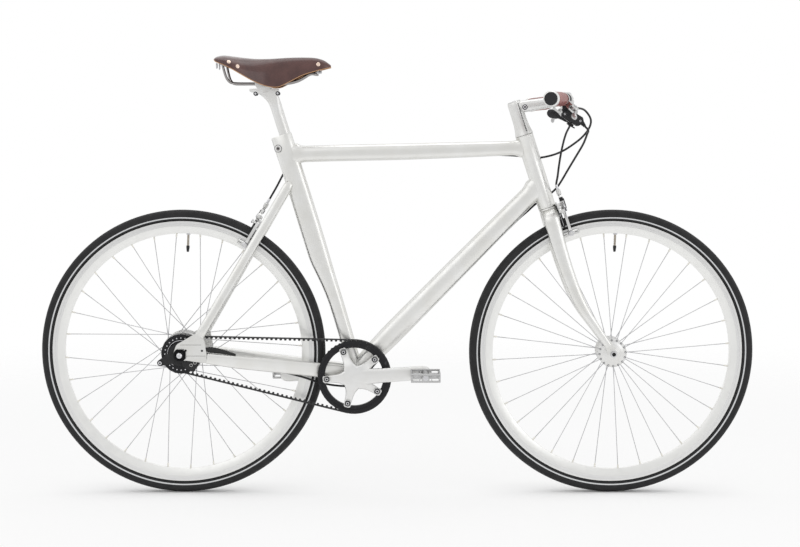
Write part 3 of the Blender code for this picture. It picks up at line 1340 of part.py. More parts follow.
def brake_arms(which):
    """The long arm on the centre bolt and the short arm on the side pivot."""
    long_arm = [(-47, -3, 3), (-47, 8, 3), (-24, 6, 4), (-8, 7.5, 4), (6, 8.5, 5), (17, 5, 6),
                (26, -6, 8), (29.5, -24, 8), (29.5, -44, 8), (27, -63, 3), (21, -64, 3),
                (20.5, -50, 4), (22, -36, 6), (21, -20, 6), (15, -9.5, 6), (0, -8.5, 4),
                (-14, -7, 4), (-28, -5, 4)]
    short_arm = [(-44, 25, 3), (-44, 36, 3), (-31, 37, 3), (-25, 25, 4), (-12, 24, 5),
                 (-10, 14, 5), (-14, 3, 6), (-20, -10, 6), (-21.5, -36, 6), (-20.5, -50, 4),
                 (-21, -64, 3), (-27, -63, 3), (-29.5, -44, 8), (-30.5, -20, 8),
                 (-32, 0, 8), (-36, 14, 8)]
    shapes = {}
    for key, points in (("long", long_arm), ("short", short_arm)):
        shapes[key] = [(x * MM, y * MM) for x, y in rounded(points, 0, 1)]
    brake_arm(f"{which}_brake_long_arm", which, shapes["long"], ARM_LAYERS[0], (0, 0),
              BRAKE_BOLT_RADIUS, 1, anchor_clamp)
    brake_arm(f"{which}_brake_short_arm", which, shapes["short"], ARM_LAYERS[1], SIDE_PIVOT,
              SIDE_PIVOT_RADIUS, -1, barrel_adjuster)


# Seatpost and saddle

SADDLE_HEIGHT = 728.6 * MM
POST_TOP = SADDLE_HEIGHT - 24.6 * MM
HEAD_CENTRE = seat(SADDLE_HEIGHT, 5.5 * MM)
DRUM_RADIUS = 19.7 * MM
HEAD_HALF = 12.5 * MM
RAIL_RADIUS = 3.5 * MM
RAIL_PLACE = 22 * MM
LEATHER = 4.5 * MM


def seatpost():
    """Tube with a trough at its head, ears for two bolts and their heads below."""
    low = seat(SEATPOST_BOTTOM, SEATPOST_LEAD)
    part = rod("seatpost", low, seat(POST_TOP - 22 * MM, SEATPOST_LEAD), SEATPOST_RADIUS,
               polished(), 20)
    arc = []
    for k in range(7):
        angle = radians(-35 - 110 * k / 6)
        reach = (DRUM_RADIUS + GAP) / cos(radians(110 / 12))
        arc.append((reach * cos(angle), reach * sin(angle), 0))
    outline = [(36 * MM, arc[0][1], 2 * MM), *arc, (-35 * MM, arc[-1][1], 2 * MM),
               (-35 * MM, -20 * MM, 4 * MM), (-19 * MM, -25 * MM, 8 * MM),
               (-2 * MM, -44 * MM, 6 * MM), (22 * MM, -46 * MM, 4 * MM),
               (28 * MM, -26 * MM, 6 * MM), (36 * MM, -18 * MM, 3 * MM)]
    head = plate("head", rounded(outline, 0, 2), -HEAD_HALF, HEAD_HALF, polished(), HEAD_CENTRE)
    bolts = []
    for place in (-26 * MM, 29.5 * MM):
        foot = HEAD_CENTRE + Vector((place, 0, -27 * MM))
        bolts.append(turned("bolt", [(0, 3 * MM), (1 * MM, 4 * MM), (5 * MM, 4 * MM),
                                     (12 * MM, 3.5 * MM)], foot, Vector((0, 0, 1)),
                            steel(), 10))
    return fused(part, head, *bolts)


def saddle_clamp():
    """Drum in the seatpost's trough, with a bored yoke that grips both rails."""
    wide = RAIL_PLACE + RAIL_RADIUS + 2 * MM
    part = rod("saddle_clamp", HEAD_CENTRE - LEFT * HEAD_HALF, HEAD_CENTRE + LEFT * HEAD_HALF,
               DRUM_RADIUS, polished(), 32)
    outline = rounded([(-20 * MM, -7 * MM), (20 * MM, -7 * MM), (20 * MM, 7 * MM),
                       (-20 * MM, 7 * MM)], 4 * MM, 2)
    yoke = plate("yoke", outline, -wide, wide, polished(), HEAD_CENTRE)
    top = plate("top", [(-40 * MM, 9 * MM), (40 * MM, 9 * MM), (40 * MM, 40 * MM),
                        (-40 * MM, 40 * MM)], -50 * MM, 50 * MM, polished(), HEAD_CENTRE)
    part = cut(fused(part, yoke), top)
    bores = []
    for side in (-1, 1):
        centre = HEAD_CENTRE + LEFT * side * RAIL_PLACE
        bores.append(drill(centre - Vector((50 * MM, 0, 0)), centre + Vector((50 * MM, 0, 0)),
                           RAIL_RADIUS, 12))
    return cut(part, *bores)


def on_saddle(ahead, left, up):
    """A point given in millimetres from the middle of the seatpost's drum."""
    return HEAD_CENTRE + Vector((ahead, left, up)) * MM


def saddle_frame():
    """One bent rail from the back, forward round the nose and back, and the rear plate."""
    apart = RAIL_PLACE / MM
    half = [(-99, 52, 47.5), (-95, 50, 34.5), (-88, 45, 14.5), (-76, 36, 1), (-58, 27, 0),
            (-28, apart, 0), (29, apart, 0), (61, 19, 4), (85, 14, 14), (102, 10, 24),
            (121, 7, 29), (131, 0, 29)]
    line = [on_saddle(x, -y, z) for x, y, z in half]
    line += [on_saddle(x, y, z) for x, y, z in reversed(half[:-1])]
    stations = [(place, RAIL_RADIUS, RAIL_RADIUS) for place in line]
    part = swept("saddle_frame", stations, black_metal(), 6, hint=Vector((0, 0, 1)))
    arc = [(-83, 66, 42.5), (-97, 58, 46.5), (-106, 42, 50.5), (-110, 20, 53.5)]
    band = [on_saddle(x, -y, z) for x, y, z in arc] + [on_saddle(-111, 0, 54.5)]
    band += [on_saddle(x, y, z) for x, y, z in reversed(arc)]
    rear = swept("rear", [(place, 2 * MM, 6 * MM) for place in band], steel(), 4, 8,
                 hint=Vector((0, 0, 1)), turn=pi / 4)
    nose = swept("nose", [(on_saddle(125, 0, 29), 8 * MM, 3 * MM),
                          (on_saddle(139, 0, 38.5), 11 * MM, 2.5 * MM),
                          (on_saddle(145, 0, 45.5), 8 * MM, 2 * MM)], steel(), 10,
                 hint=Vector((0, 0, 1)))
    return fused(part, rear, nose)


def saddle_cover():
    """Leather stretched from the rear plate to the nose, with deep side flaps."""
    shape = [(-124, 60.5, 62, 54.5), (-119, 64.5, 70, 49.5), (-103, 67, 78, 43.5),
             (-83, 65, 80, 34.5), (-58, 62, 73, 20.5), (-28, 59.5, 58, 4.5),
             (2, 59.5, 45, -6.5), (29, 61, 38, -8), (55, 62.5, 33, 3.5), (87, 63, 28, 19.5),
             (117, 62, 23.5, 29), (139, 56.5, 19, 34.5), (152, 48.5, 13, 37.5),
             (157, 44.5, 9, 38.5)]
    rings = []
    count = 8
    for x, top, wide, low in shape:
        ring = []
        for shell, sign in ((0, 1), (LEATHER / MM, -1)):
            for k in range(count + 1):
                angle = sign * (-pi / 2 + pi * k / count)
                reach = abs(sin(angle)) ** 0.77 * (wide - shell)
                rise = abs(cos(angle)) ** 0.77 * (top - low - shell)
                side = 1 if angle > 0 else -1
                ring.append(on_saddle(x, side * reach, low + rise))
        rings.append(ring)
    return skin("saddle_cover", rings, brown_leather())


# Gear joint at the rear hub

PULLEY_RADIUS = 28.5 * MM
PULLEY_LAYER = (-59.8 * MM, -54 * MM)
BRACKET_LAYER = (-66.8 * MM, -60.2 * MM)
ANCHOR_PLACE = (-49 * MM, -20.5 * MM)
GEAR_STOP = (Vector((12, -63.5, 10)) * MM, Vector((30, -63.5, 8)) * MM)


def disc_with_arm(radius, tip, tip_radius, steps=18):
    """Outline of a round plate with an arm that ends in a smaller round."""
    angle = atan2(tip[1], tip[0])
    spread = 0.5
    points = []
    for k in range(steps + 1):
        a = angle + spread + (2 * pi - 2 * spread) * k / steps
        points.append((radius * cos(a), radius * sin(a)))
    for k in range(7):
        a = angle - pi / 2 + pi * k / 6
        points.append((tip[0] + tip_radius * cos(a), tip[1] + tip_radius * sin(a)))
    return points


def gear_joint():
    """Cable pulley that turns on the axle, and the keyed bracket outside it."""
    pulley = plate("gear_joint_pulley", disc_with_arm(PULLEY_RADIUS, ANCHOR_PLACE, 7.5 * MM),
                   *PULLEY_LAYER, black_plastic(), REAR_AXLE)
    bolt_place = REAR_AXLE + Vector((ANCHOR_PLACE[0], 0, ANCHOR_PLACE[1]))
    bolt = turned("bolt", [(PULLEY_LAYER[0] - 4 * MM, 3 * MM),
                           (PULLEY_LAYER[0] - 3 * MM, 4.5 * MM),
                           (PULLEY_LAYER[1] - 1 * MM, 4.5 * MM)], bolt_place, LEFT, steel(), 10)
    hole = drill(REAR_AXLE - LEFT * 90 * MM, REAR_AXLE - LEFT * 40 * MM, AXLE_RADIUS)
    cut(fused(pulley, bolt), hole)
    body = plate("gear_joint_bracket", disc_with_arm(19 * MM, (0, 0), 0)[:-7], *BRACKET_LAYER,
                 black_plastic(), REAR_AXLE)
    arm = plate("arm", rounded([(0, -6 * MM), (14 * MM, 8 * MM), (46 * MM, -20 * MM),
                                (31 * MM, -43 * MM), (6 * MM, -28 * MM)], 4 * MM, 2),
                *BRACKET_LAYER, black_plastic(), REAR_AXLE)
    stop = rod("stop", REAR_AXLE + GEAR_STOP[0], REAR_AXLE + GEAR_STOP[1], 3.2 * MM,
               black_plastic(), 10)
    hole = drill(REAR_AXLE - LEFT * 90 * MM, REAR_AXLE - LEFT * 40 * MM, AXLE_RADIUS)
    cut(fused(body, arm, stop), hole)


# Cables, held all the way from lever to brake or hub

HOUSING = 5 * MM


def brake_cable_end(which):
    """Where the housing meets the barrel on a brake's short arm."""
    origin, u, v, w = brake_frame(which)
    middle = (ARM_LAYERS[1][0] + ARM_LAYERS[1][1]) / 2
    return origin - u * 37 * MM + v * (52 * MM + GAP) + w * middle, v


def lever_cable_end(side):
    origin, u, v, w = lever_frame(side)
    return lever_point(side, -14 * MM - BARREL_LENGTH - GAP, 30 * MM), -u


def points(*places):
    return [Vector(place) * MM for place in places]


def front_brake_housing():
    start, run = lever_cable_end(1)
    end, up = brake_cable_end("front")
    route = [start, start + run * 14 * MM,
             *points((424, 78, 915), (421, 52, 893), (405, 24, 864), (394, 2, 830),
                     (386, -18, 795), (381, -31, 765)), end + up * 12 * MM, end]
    return cable("front_brake_housing", route, HOUSING, 15 * MM)


def rear_brake_housing():
    start, run = lever_cable_end(-1)
    end, up = brake_cable_end("rear")
    route = [start, start + run * 14 * MM,
             *points((438, -80, 920), (455, -58, 900), (455, -36, 880), (441, -16, 858),
                     (418, 2, 838), (393, 15, 822), (365, 23, 812), (335, 26, 806),
                     (305, 24.5, 805), (270, 20.5, 806), (150, 18.8, 806), (20, 18.8, 804),
                     (-110, 18.8, 803), (-215, 19.5, 801), (-255, 20.5, 797),
                     (-282, 23, 783), (-298, 28, 760), (-308, 33, 738)),
             end + up * 10 * MM, end]
    return cable("rear_brake_housing", route, HOUSING, 27 * MM)


def gear_housing():
    centre = bar_point(-SHIFTER_PLACE)
    outlet = Vector((46, 0, -62)) * MM
    away = Vector((10, 0, -12)).normalized()
    start = centre + outlet + away * GAP * 1.3
    stop = REAR_AXLE + GEAR_STOP[1]
    onward = (GEAR_STOP[1] - GEAR_STOP[0]).normalized()
    route = [start, start + away * 12 * MM,
             *points((441, -108, 862), (434, -92, 840),
                     (418, -68, 808), (404, -44, 778), (392, -20, 752), (380, 8, 730),
                     (362, 26, 709), (344, 27, 691), (322, 18, 673), (296, 4, 648),
                     (260, 0, 612), (120, 0, 472), (0, 0, 351.5), (-60, -2, 290),
                     (-84, -4, 264), (-110, -8, 258.5), (-150, -14, 261), (-190, -22, 270),
                     (-230, -26, 284), (-300, -35, 303), (-370, -44.5, 318),
                     (-430, -55, 336), (-455, -60, 345)),
             stop + onward * 16 * MM, stop + onward * GAP * 1.3]
    return cable("gear_housing", route, HOUSING, 30 * MM)


def clear_scene():
    for old in list(bpy.data.objects):
        bpy.data.objects.remove(old)


def frame_parts():
    head_tube()
    headset_bearings()
    seat_tube()
    seat_clamp_bolt()
    top_tube()
    down_tube()
    bottom_bracket_shell()
    bottom_bracket()
    for label, side in (("right", -1), ("left", 1)):
        seat_stay(f"seat_stay_{label}", side)
        chain_stay(f"chain_stay_{label}", side)
        dropout(f"dropout_{label}", side)
        axle_washer(f"axle_washer_{label}", side)
    rear_axle()
    brake_bridge()
    gear_joint()


def steering_parts():
    fork()
    stem()
    handlebar()
    front_axle()
    for label, side in (("right", -1), ("left", 1)):
        grip(f"grip_{label}", side)
        brake_perch(f"brake_perch_{label}", side)
        brake_lever(f"brake_lever_{label}", side)
    shifter_body()
    shifter_levers()


def brake_parts():
    for which in ("front", "rear"):
        brake_bolt(f"{which}_brake_bolt", which)
        brake_arms(which)


def wheel_parts():
    tyre("front_tyre", FRONT_AXLE)
    tyre("rear_tyre", REAR_AXLE)
    rim("front_rim", FRONT_AXLE)
    rim("rear_rim", REAR_AXLE)
    front_hub()
    rear_hub()


def drive_parts():
    crank_right()
    crank_left()
    add_sprocket_tabs(front_sprocket())
    rear_sprocket()
    belt()
    pedal("pedal_right", CRANK_RUN, -1)
    pedal("pedal_left", -CRANK_RUN, 1)


def seat_parts():
    seatpost()
    saddle_clamp()
    saddle_frame()
    saddle_cover()


def pivot(name, place, pieces, parent=None):
    """An empty on a joint's axis, which then holds the pieces that turn or slide there."""
    holder = bpy.data.objects.new(name, None)
    holder.empty_display_size = 30 * MM
    holder.location = place
    if parent:
        holder.location = place - places[parent]
        holder.parent = bpy.data.objects[parent]
    places[name] = place
    bpy.context.collection.objects.link(holder)
    for piece in pieces:
        part = bpy.data.objects[piece]
        part.data.transform(Matrix.Translation(-place))
        part.parent = holder
    return holder


places = {}


def steering_pivots():
    pivot("steering_axis", HEAD_BOTTOM,
          ["fork", "stem", "handlebar", "grip_right", "grip_left", "brake_perch_right",
           "brake_perch_left", "shifter_body", "front_axle", "front_brake_bolt",
           "front_brake_housing"])
    pivot("front_wheel_axis", FRONT_AXLE, ["front_hub", "front_rim", "front_tyre"],
          "steering_axis")
    for label, side in (("right", -1), ("left", 1)):
        pivot(f"brake_lever_axis_{label}", lever_point(side, *LEVER_PIVOT),
              [f"brake_lever_{label}"], "steering_axis")
    origin = shifter_frame()[0]
    pivot("shifter_main_axis", origin, ["shifter_main_lever"], "steering_axis")
    pivot("shifter_release_axis", origin, ["shifter_release_lever"], "steering_axis")


def brake_pivots():
    for which, parent in (("front", "steering_axis"), ("rear", None)):
        origin, u, v, w = brake_frame(which)
        pivot(f"{which}_brake_long_axis", origin, [f"{which}_brake_long_arm"], parent)
        side = origin + u * SIDE_PIVOT[0] + v * SIDE_PIVOT[1]
        pivot(f"{which}_brake_short_axis", side, [f"{which}_brake_short_arm"], parent)


def drive_pivots():
    pivot("crank_axis", BB, ["crank_right", "crank_left", "front_sprocket"])
    pivot("pedal_axis_right", BB + CRANK_RUN * CRANK_LENGTH, ["pedal_right"], "crank_axis")
    pivot("pedal_axis_left", BB - CRANK_RUN * CRANK_LENGTH, ["pedal_left"], "crank_axis")
    pivot("rear_wheel_axis", REAR_AXLE, ["rear_hub", "rear_rim", "rear_tyre"])
    pivot("rear_sprocket_axis", REAR_AXLE, ["rear_sprocket"])
    pivot("gear_joint_axis", REAR_AXLE, ["gear_joint_pulley"])


def seat_pivots():
    pivot("seatpost_axis", seat(SEATPOST_BOTTOM, SEATPOST_LEAD), ["seatpost"])
    pivot("saddle_tilt_axis", HEAD_CENTRE, ["saddle_clamp", "saddle_frame", "saddle_cover"],
          "seatpost_axis")


def main():
    clear_scene()
    frame_parts()
    steering_parts()
    brake_parts()
    wheel_parts()
    drive_parts()
    seat_parts()
    front_brake_housing()
    rear_brake_housing()
    gear_housing()
    steering_pivots()
    brake_pivots()
    drive_pivots()
    seat_pivots()


main()
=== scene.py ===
"""Looks of a city bike: materials, soft and small pieces, floor, light and camera.

Sizes and profiles of shapes are in millimetres; points, and all of the node trees, in metres.
"""

import json
from math import cos, pi, radians, sin, sqrt, tan

import bmesh
import bpy
from mathutils import Vector
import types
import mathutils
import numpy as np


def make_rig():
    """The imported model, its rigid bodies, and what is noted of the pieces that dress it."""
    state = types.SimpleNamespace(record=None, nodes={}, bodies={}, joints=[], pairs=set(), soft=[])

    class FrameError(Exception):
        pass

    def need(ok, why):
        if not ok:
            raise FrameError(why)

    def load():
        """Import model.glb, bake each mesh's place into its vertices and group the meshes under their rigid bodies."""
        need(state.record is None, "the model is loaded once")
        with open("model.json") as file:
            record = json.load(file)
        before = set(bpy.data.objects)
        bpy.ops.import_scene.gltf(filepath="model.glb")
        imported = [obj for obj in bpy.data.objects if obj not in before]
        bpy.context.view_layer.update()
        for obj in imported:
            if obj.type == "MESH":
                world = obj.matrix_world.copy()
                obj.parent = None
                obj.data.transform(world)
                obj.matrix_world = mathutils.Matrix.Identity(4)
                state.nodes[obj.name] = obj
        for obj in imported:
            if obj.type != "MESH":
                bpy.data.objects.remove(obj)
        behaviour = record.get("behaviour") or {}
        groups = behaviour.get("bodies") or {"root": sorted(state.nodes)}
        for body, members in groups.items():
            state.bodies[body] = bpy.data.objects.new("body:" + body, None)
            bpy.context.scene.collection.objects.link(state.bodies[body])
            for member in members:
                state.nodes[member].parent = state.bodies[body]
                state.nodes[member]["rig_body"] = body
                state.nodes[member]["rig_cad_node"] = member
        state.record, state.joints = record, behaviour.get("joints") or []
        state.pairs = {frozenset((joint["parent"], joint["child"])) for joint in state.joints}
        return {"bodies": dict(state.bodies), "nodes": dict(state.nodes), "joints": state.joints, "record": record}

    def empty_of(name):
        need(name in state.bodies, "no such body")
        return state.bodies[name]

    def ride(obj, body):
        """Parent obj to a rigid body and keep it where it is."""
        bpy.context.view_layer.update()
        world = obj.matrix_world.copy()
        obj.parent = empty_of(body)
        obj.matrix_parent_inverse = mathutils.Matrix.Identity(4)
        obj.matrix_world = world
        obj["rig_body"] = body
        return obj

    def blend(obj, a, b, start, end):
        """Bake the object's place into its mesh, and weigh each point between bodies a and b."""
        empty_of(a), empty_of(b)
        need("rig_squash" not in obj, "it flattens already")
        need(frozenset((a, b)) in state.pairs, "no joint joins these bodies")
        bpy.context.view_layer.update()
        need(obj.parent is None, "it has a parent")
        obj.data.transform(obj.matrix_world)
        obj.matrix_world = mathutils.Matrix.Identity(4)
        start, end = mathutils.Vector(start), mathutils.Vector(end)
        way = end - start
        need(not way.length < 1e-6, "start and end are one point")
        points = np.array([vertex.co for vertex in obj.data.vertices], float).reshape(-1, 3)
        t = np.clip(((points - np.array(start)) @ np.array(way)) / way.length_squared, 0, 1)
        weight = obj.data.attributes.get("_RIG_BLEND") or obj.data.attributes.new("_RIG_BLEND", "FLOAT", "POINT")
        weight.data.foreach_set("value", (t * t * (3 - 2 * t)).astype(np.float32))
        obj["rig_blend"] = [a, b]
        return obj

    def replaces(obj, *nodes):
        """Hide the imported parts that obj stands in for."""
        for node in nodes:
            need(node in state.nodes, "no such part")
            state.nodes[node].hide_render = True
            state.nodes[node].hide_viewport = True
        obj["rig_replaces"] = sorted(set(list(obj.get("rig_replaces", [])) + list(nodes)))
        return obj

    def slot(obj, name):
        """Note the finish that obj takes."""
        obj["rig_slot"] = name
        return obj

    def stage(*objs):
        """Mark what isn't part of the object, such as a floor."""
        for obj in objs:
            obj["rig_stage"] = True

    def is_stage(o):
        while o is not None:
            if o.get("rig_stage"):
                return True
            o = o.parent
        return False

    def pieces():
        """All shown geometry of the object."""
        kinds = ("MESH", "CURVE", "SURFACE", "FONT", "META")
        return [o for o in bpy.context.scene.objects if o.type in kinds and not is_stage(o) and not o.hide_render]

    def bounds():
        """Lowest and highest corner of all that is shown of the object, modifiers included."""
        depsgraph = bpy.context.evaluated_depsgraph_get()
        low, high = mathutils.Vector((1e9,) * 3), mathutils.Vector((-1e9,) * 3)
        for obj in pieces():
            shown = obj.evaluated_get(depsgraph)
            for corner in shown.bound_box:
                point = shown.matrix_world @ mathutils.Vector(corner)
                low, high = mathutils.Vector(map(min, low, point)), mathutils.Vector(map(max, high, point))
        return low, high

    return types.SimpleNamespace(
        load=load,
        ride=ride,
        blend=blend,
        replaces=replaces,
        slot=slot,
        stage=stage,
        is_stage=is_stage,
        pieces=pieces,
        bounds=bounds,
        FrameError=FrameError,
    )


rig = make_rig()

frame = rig.load()
cad_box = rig.bounds()
nodes = frame["nodes"]

MM = 0.001
FORWARD, LEFT, UP = Vector((1, 0, 0)), Vector((0, 1, 0)), Vector((0, 0, 1))
BOX_AXES = (FORWARD, UP, LEFT)
SIDES = (("right", -1), ("left", 1))


def mm(*place):
    """A vector in metres from its three parts in millimetres."""
    return Vector(place) * MM


def placer(origin, *axes):
    """A function that turns distances along the axes into a point."""
    def point(*distances):
        return origin + sum((axis * d for axis, d in zip(axes, distances)), Vector()) * MM
    return point


def ray(angle):
    """Unit vector in the wheels' plane, turned up from forward."""
    return Vector((cos(angle), 0, sin(angle)))


def square_to(angle):
    """Unit vector in the wheels' plane, square to the ray of that angle."""
    return Vector((-sin(angle), 0, cos(angle)))


def about(centre, radius, angle, aside=0):
    """A point from its distance and turn about an axle, and its distance along it."""
    return centre + mm(radius * cos(angle), aside, radius * sin(angle))


def turns(count):
    """Angles all the way round."""
    return [2 * pi * k / count for k in range(count)]


def sweep(start, step, count):
    """Angles from a start and a step in degrees."""
    return [radians(start + step * k) for k in range(count)]


WHEELS = {"rear": Vector((-0.515, 0, 0.342)), "front": Vector((0.515, 0, 0.342))}
REAR_AXLE, FRONT_AXLE = WHEELS["rear"], WHEELS["front"]
HEAD_ANGLE = radians(72)
SEAT_ANGLE = radians(72.5)
STEER_UP = Vector((-cos(HEAD_ANGLE), 0, sin(HEAD_ANGLE)))
STEER_FORWARD = Vector((sin(HEAD_ANGLE), 0, cos(HEAD_ANGLE)))
HEAD_BOTTOM = FRONT_AXLE + STEER_UP * 0.378 - STEER_FORWARD * 0.0407
BB = Vector((-0.103152, 0, 0.287))
SEAT_UP = Vector((-cos(SEAT_ANGLE), 0, sin(SEAT_ANGLE)))
SEAT_FORWARD = Vector((sin(SEAT_ANGLE), 0, cos(SEAT_ANGLE)))
SEAT_HEAD = Vector((-0.317001, 0, 0.983532))
steer = placer(HEAD_BOTTOM, STEER_UP, STEER_FORWARD, LEFT)
seat = placer(BB, SEAT_UP, SEAT_FORWARD, LEFT)


# Node trees

def feed(made, socket, value):
    """Links a socket to another node's output, or sets its value."""
    if isinstance(value, bpy.types.NodeSocket):
        made.node_tree.links.new(value, socket)
    else:
        socket.default_value = value


def node(made, kind, inputs=None, **settings):
    """Adds a node to a material or the world, and returns its outputs."""
    new = made.node_tree.nodes.new("ShaderNode" + kind)
    for key, value in settings.items():
        setattr(new, key, value)
    for key, value in (inputs or {}).items():
        feed(made, new.inputs[key], value)
    return new.outputs


def shader(made, socket):
    return made.node_tree.nodes["Principled BSDF"].inputs[socket]


def surface(name, colour, roughness, metallic=0.0, **sockets):
    """A material with a Principled shader and its sockets' values."""
    made = bpy.data.materials.new(name)
    made.use_nodes = True
    sockets.update(Base_Color=(*colour, 1), Roughness=roughness, Metallic=metallic)
    for socket, value in sockets.items():
        shader(made, socket.replace("_", " ")).default_value = value
    return made


def place(made, stretch=(1, 1, 1), shift=(0, 0, 0)):
    """The piece's own coordinates in metres, stretched and shifted."""
    own = node(made, "TexCoord")["Object"]
    return node(made, "Mapping", {"Vector": own, "Scale": stretch, "Location": shift})["Vector"]


def noise(made, scale, detail=3.0, stretch=(1, 1, 1)):
    return node(made, "TexNoise", {"Scale": scale, "Detail": detail,
                                   "Vector": place(made, stretch)})["Fac"]


def cells(made, scale):
    return node(made, "TexVoronoi", {"Scale": scale, "Vector": place(made)})["Distance"]


def spread(made, value, low, high, to_low=0.0, to_high=1.0, **settings):
    """Maps a value from one range to another, with its ends held."""
    return node(made, "MapRange", {"Value": value, "From Min": low, "From Max": high,
                                   "To Min": to_low, "To Max": to_high}, **settings)["Result"]


def sums(made, operation, *values):
    return node(made, "Math", dict(enumerate(values)), operation=operation)["Value"]


def product(made, *values):
    return sums(made, "MULTIPLY", *values)


def mixed(made, share, first, second):
    """A colour between two colours; each is a triple or another node's colour."""
    first, second = [(*c, 1) if isinstance(c, tuple) else c for c in (first, second)]
    return node(made, "Mix", {"Factor": share, 6: first, 7: second}, data_type="RGBA")[2]


def colour_from(made, share, first, second):
    feed(made, shader(made, "Base Color"), mixed(made, share, first, second))


def roughness_from(made, value, low, high):
    feed(made, shader(made, "Roughness"), spread(made, value, 0.3, 0.7, low, high))


def bump(made, height, depth, strength):
    """Adds a bump of that depth over any bump already there."""
    target = shader(made, "Normal")
    under = {"Normal": target.links[0].from_socket} if target.is_linked else {}
    feed(made, target, node(made, "Bump", {"Strength": strength, "Distance": depth,
                                           "Height": height, **under})["Normal"])


def wheel_place(made, centre):
    """Distance from a wheel's axle, distance along the axle, and turn about it."""
    parts = node(made, "SeparateXYZ", {"Vector": place(made, shift=-centre)})
    x, y, z = (parts[axis] for axis in "XYZ")
    square = sums(made, "ADD", product(made, x, x), product(made, z, z))
    return (sums(made, "SQRT", square), sums(made, "ABSOLUTE", y),
            sums(made, "ARCTAN2", z, x))


def band(made, value, low, high, edge):
    """1 between low and high, 0 outside, with soft edges."""
    return product(made, spread(made, value, low - edge, low + edge),
                   spread(made, value, high - edge, high + edge, 1.0, 0.0))


# Materials

def scaled(colour, factor, plus=0.0):
    return tuple(c * factor + plus for c in colour)


def satin_metal(name, colour, grain=120, rough=(0.28, 0.40)):
    """Bare aluminium, hand brushed, then lacquered clear: cloudy, with fine scratches."""
    made = surface(name, colour, 0.34, 1.0, Specular_Tint=(0.62, 0.62, 0.61, 1))
    warm = tuple(c * k for c, k in zip(colour, (0.955, 0.950, 0.935)))
    colour_from(made, spread(made, noise(made, 22, 4), 0.35, 0.65), colour, warm)
    roughness_from(made, noise(made, grain), *rough)
    bump(made, noise(made, 26, 2), 0.0004, 0.04)
    return made


def polished_metal(name, colour=(0.80, 0.80, 0.79), rough=(0.12, 0.22)):
    """Polished aluminium with faint rubbing marks."""
    made = surface(name, colour, 0.16, 1.0, Specular_Tint=(0.6, 0.6, 0.6, 1))
    colour_from(made, noise(made, 70, 4), colour, scaled(colour, 0.90))
    roughness_from(made, noise(made, 130, 4, (1, 3, 1)), *rough)
    bump(made, noise(made, 60, 2), 0.0001, 0.05)
    return made


def dark_metal(name, colour):
    """Black anodised or painted metal, worn a little paler in places."""
    made = surface(name, colour, 0.4, 0.6, Specular_IOR_Level=0.25)
    colour_from(made, spread(made, noise(made, 90, 5), 0.62, 0.8), colour,
                scaled(colour, 2.2, 0.02))
    roughness_from(made, noise(made, 240), 0.38, 0.5)
    bump(made, noise(made, 1800, 2), 0.00003, 0.4)
    return made


def moulded(name, colour, rough=(0.45, 0.6), grain=1500):
    """Moulded plastic or rubber with a spark-eroded grain."""
    made = surface(name, colour, 0.5, Specular_IOR_Level=0.22)
    colour_from(made, noise(made, 120), colour, scaled(colour, 1.6, 0.004))
    roughness_from(made, noise(made, 300, 2), *rough)
    bump(made, cells(made, grain), 0.00004, 0.5)
    return made


def tyre_rubber(name, centre):
    """Dark rubber: file tread, ribbed wall and a pale reflective line."""
    made = surface(name, (0.018, 0.018, 0.019), 0.62, Specular_IOR_Level=0.2)
    radius, aside, turn = wheel_place(made, centre)
    line = product(made, band(made, radius, 0.3213, 0.3242, 0.0002),
                   spread(made, aside, 0.004, 0.005))
    dust = mixed(made, noise(made, 55, 5), (0.014, 0.014, 0.015), (0.034, 0.034, 0.035))
    beads = spread(made, cells(made, 1400), 0.2, 0.6)
    glow = mixed(made, beads, (0.56, 0.57, 0.58), (0.74, 0.75, 0.76))
    colour_from(made, line, dust, glow)
    across = sums(made, "SINE", product(made, turn, 520))
    lean = sums(made, "SINE", sums(made, "ADD", product(made, turn, 260),
                                   product(made, aside, 900)))
    bump(made, product(made, spread(made, radius, 0.3345, 0.3355),
                       sums(made, "MAXIMUM", across, lean)), 0.0004, 0.8)
    ribs = sums(made, "SINE", product(made, radius, 5200))
    bump(made, product(made, spread(made, radius, 0.3325, 0.3335, 1.0, 0.0), ribs),
         0.00012, 0.5)
    bump(made, noise(made, 1200), 0.00005, 0.5)
    roughness_from(made, noise(made, 90, 4), 0.52, 0.7)
    return made


def rim_metal(name, centre):
    """Satin rim with a machined brake track near its outer edge."""
    made = surface(name, (0.84, 0.84, 0.82), 0.34, 1.0, Coat_Weight=0.1)
    radius = wheel_place(made, centre)[0]
    track = band(made, radius, 0.3035, 0.3135, 0.0003)
    cloud = mixed(made, noise(made, 30, 4), (0.89, 0.89, 0.87), (0.83, 0.83, 0.815))
    colour_from(made, track, cloud, (0.79, 0.79, 0.785))
    marks = sums(made, "SINE", product(made, radius, 4200))
    bump(made, product(made, track, marks), 0.000004, 0.25)
    bump(made, noise(made, 500), 0.00001, 0.25)
    roughness_from(made, noise(made, 80, 4), 0.3, 0.44)
    return made


def leather(name, dark, light, gloss=(0.28, 0.46), coat=0.2):
    """Leather with pores, creases, cloudy dye and a soft polish."""
    made = surface(name, dark, 0.4, Coat_Weight=coat, Coat_Roughness=0.16,
                   Specular_IOR_Level=0.3)
    dye = mixed(made, spread(made, noise(made, 28, 5), 0.3, 0.7), dark, light)
    pores = cells(made, 900)
    colour_from(made, spread(made, pores, 0.0, 0.35, 0.55, 0.0), dye, scaled(dark, 0.45))
    roughness_from(made, noise(made, 60, 4), *gloss)
    bump(made, pores, 0.00012, 0.55)
    bump(made, noise(made, 220, 5), 0.00035, 0.35)
    return made


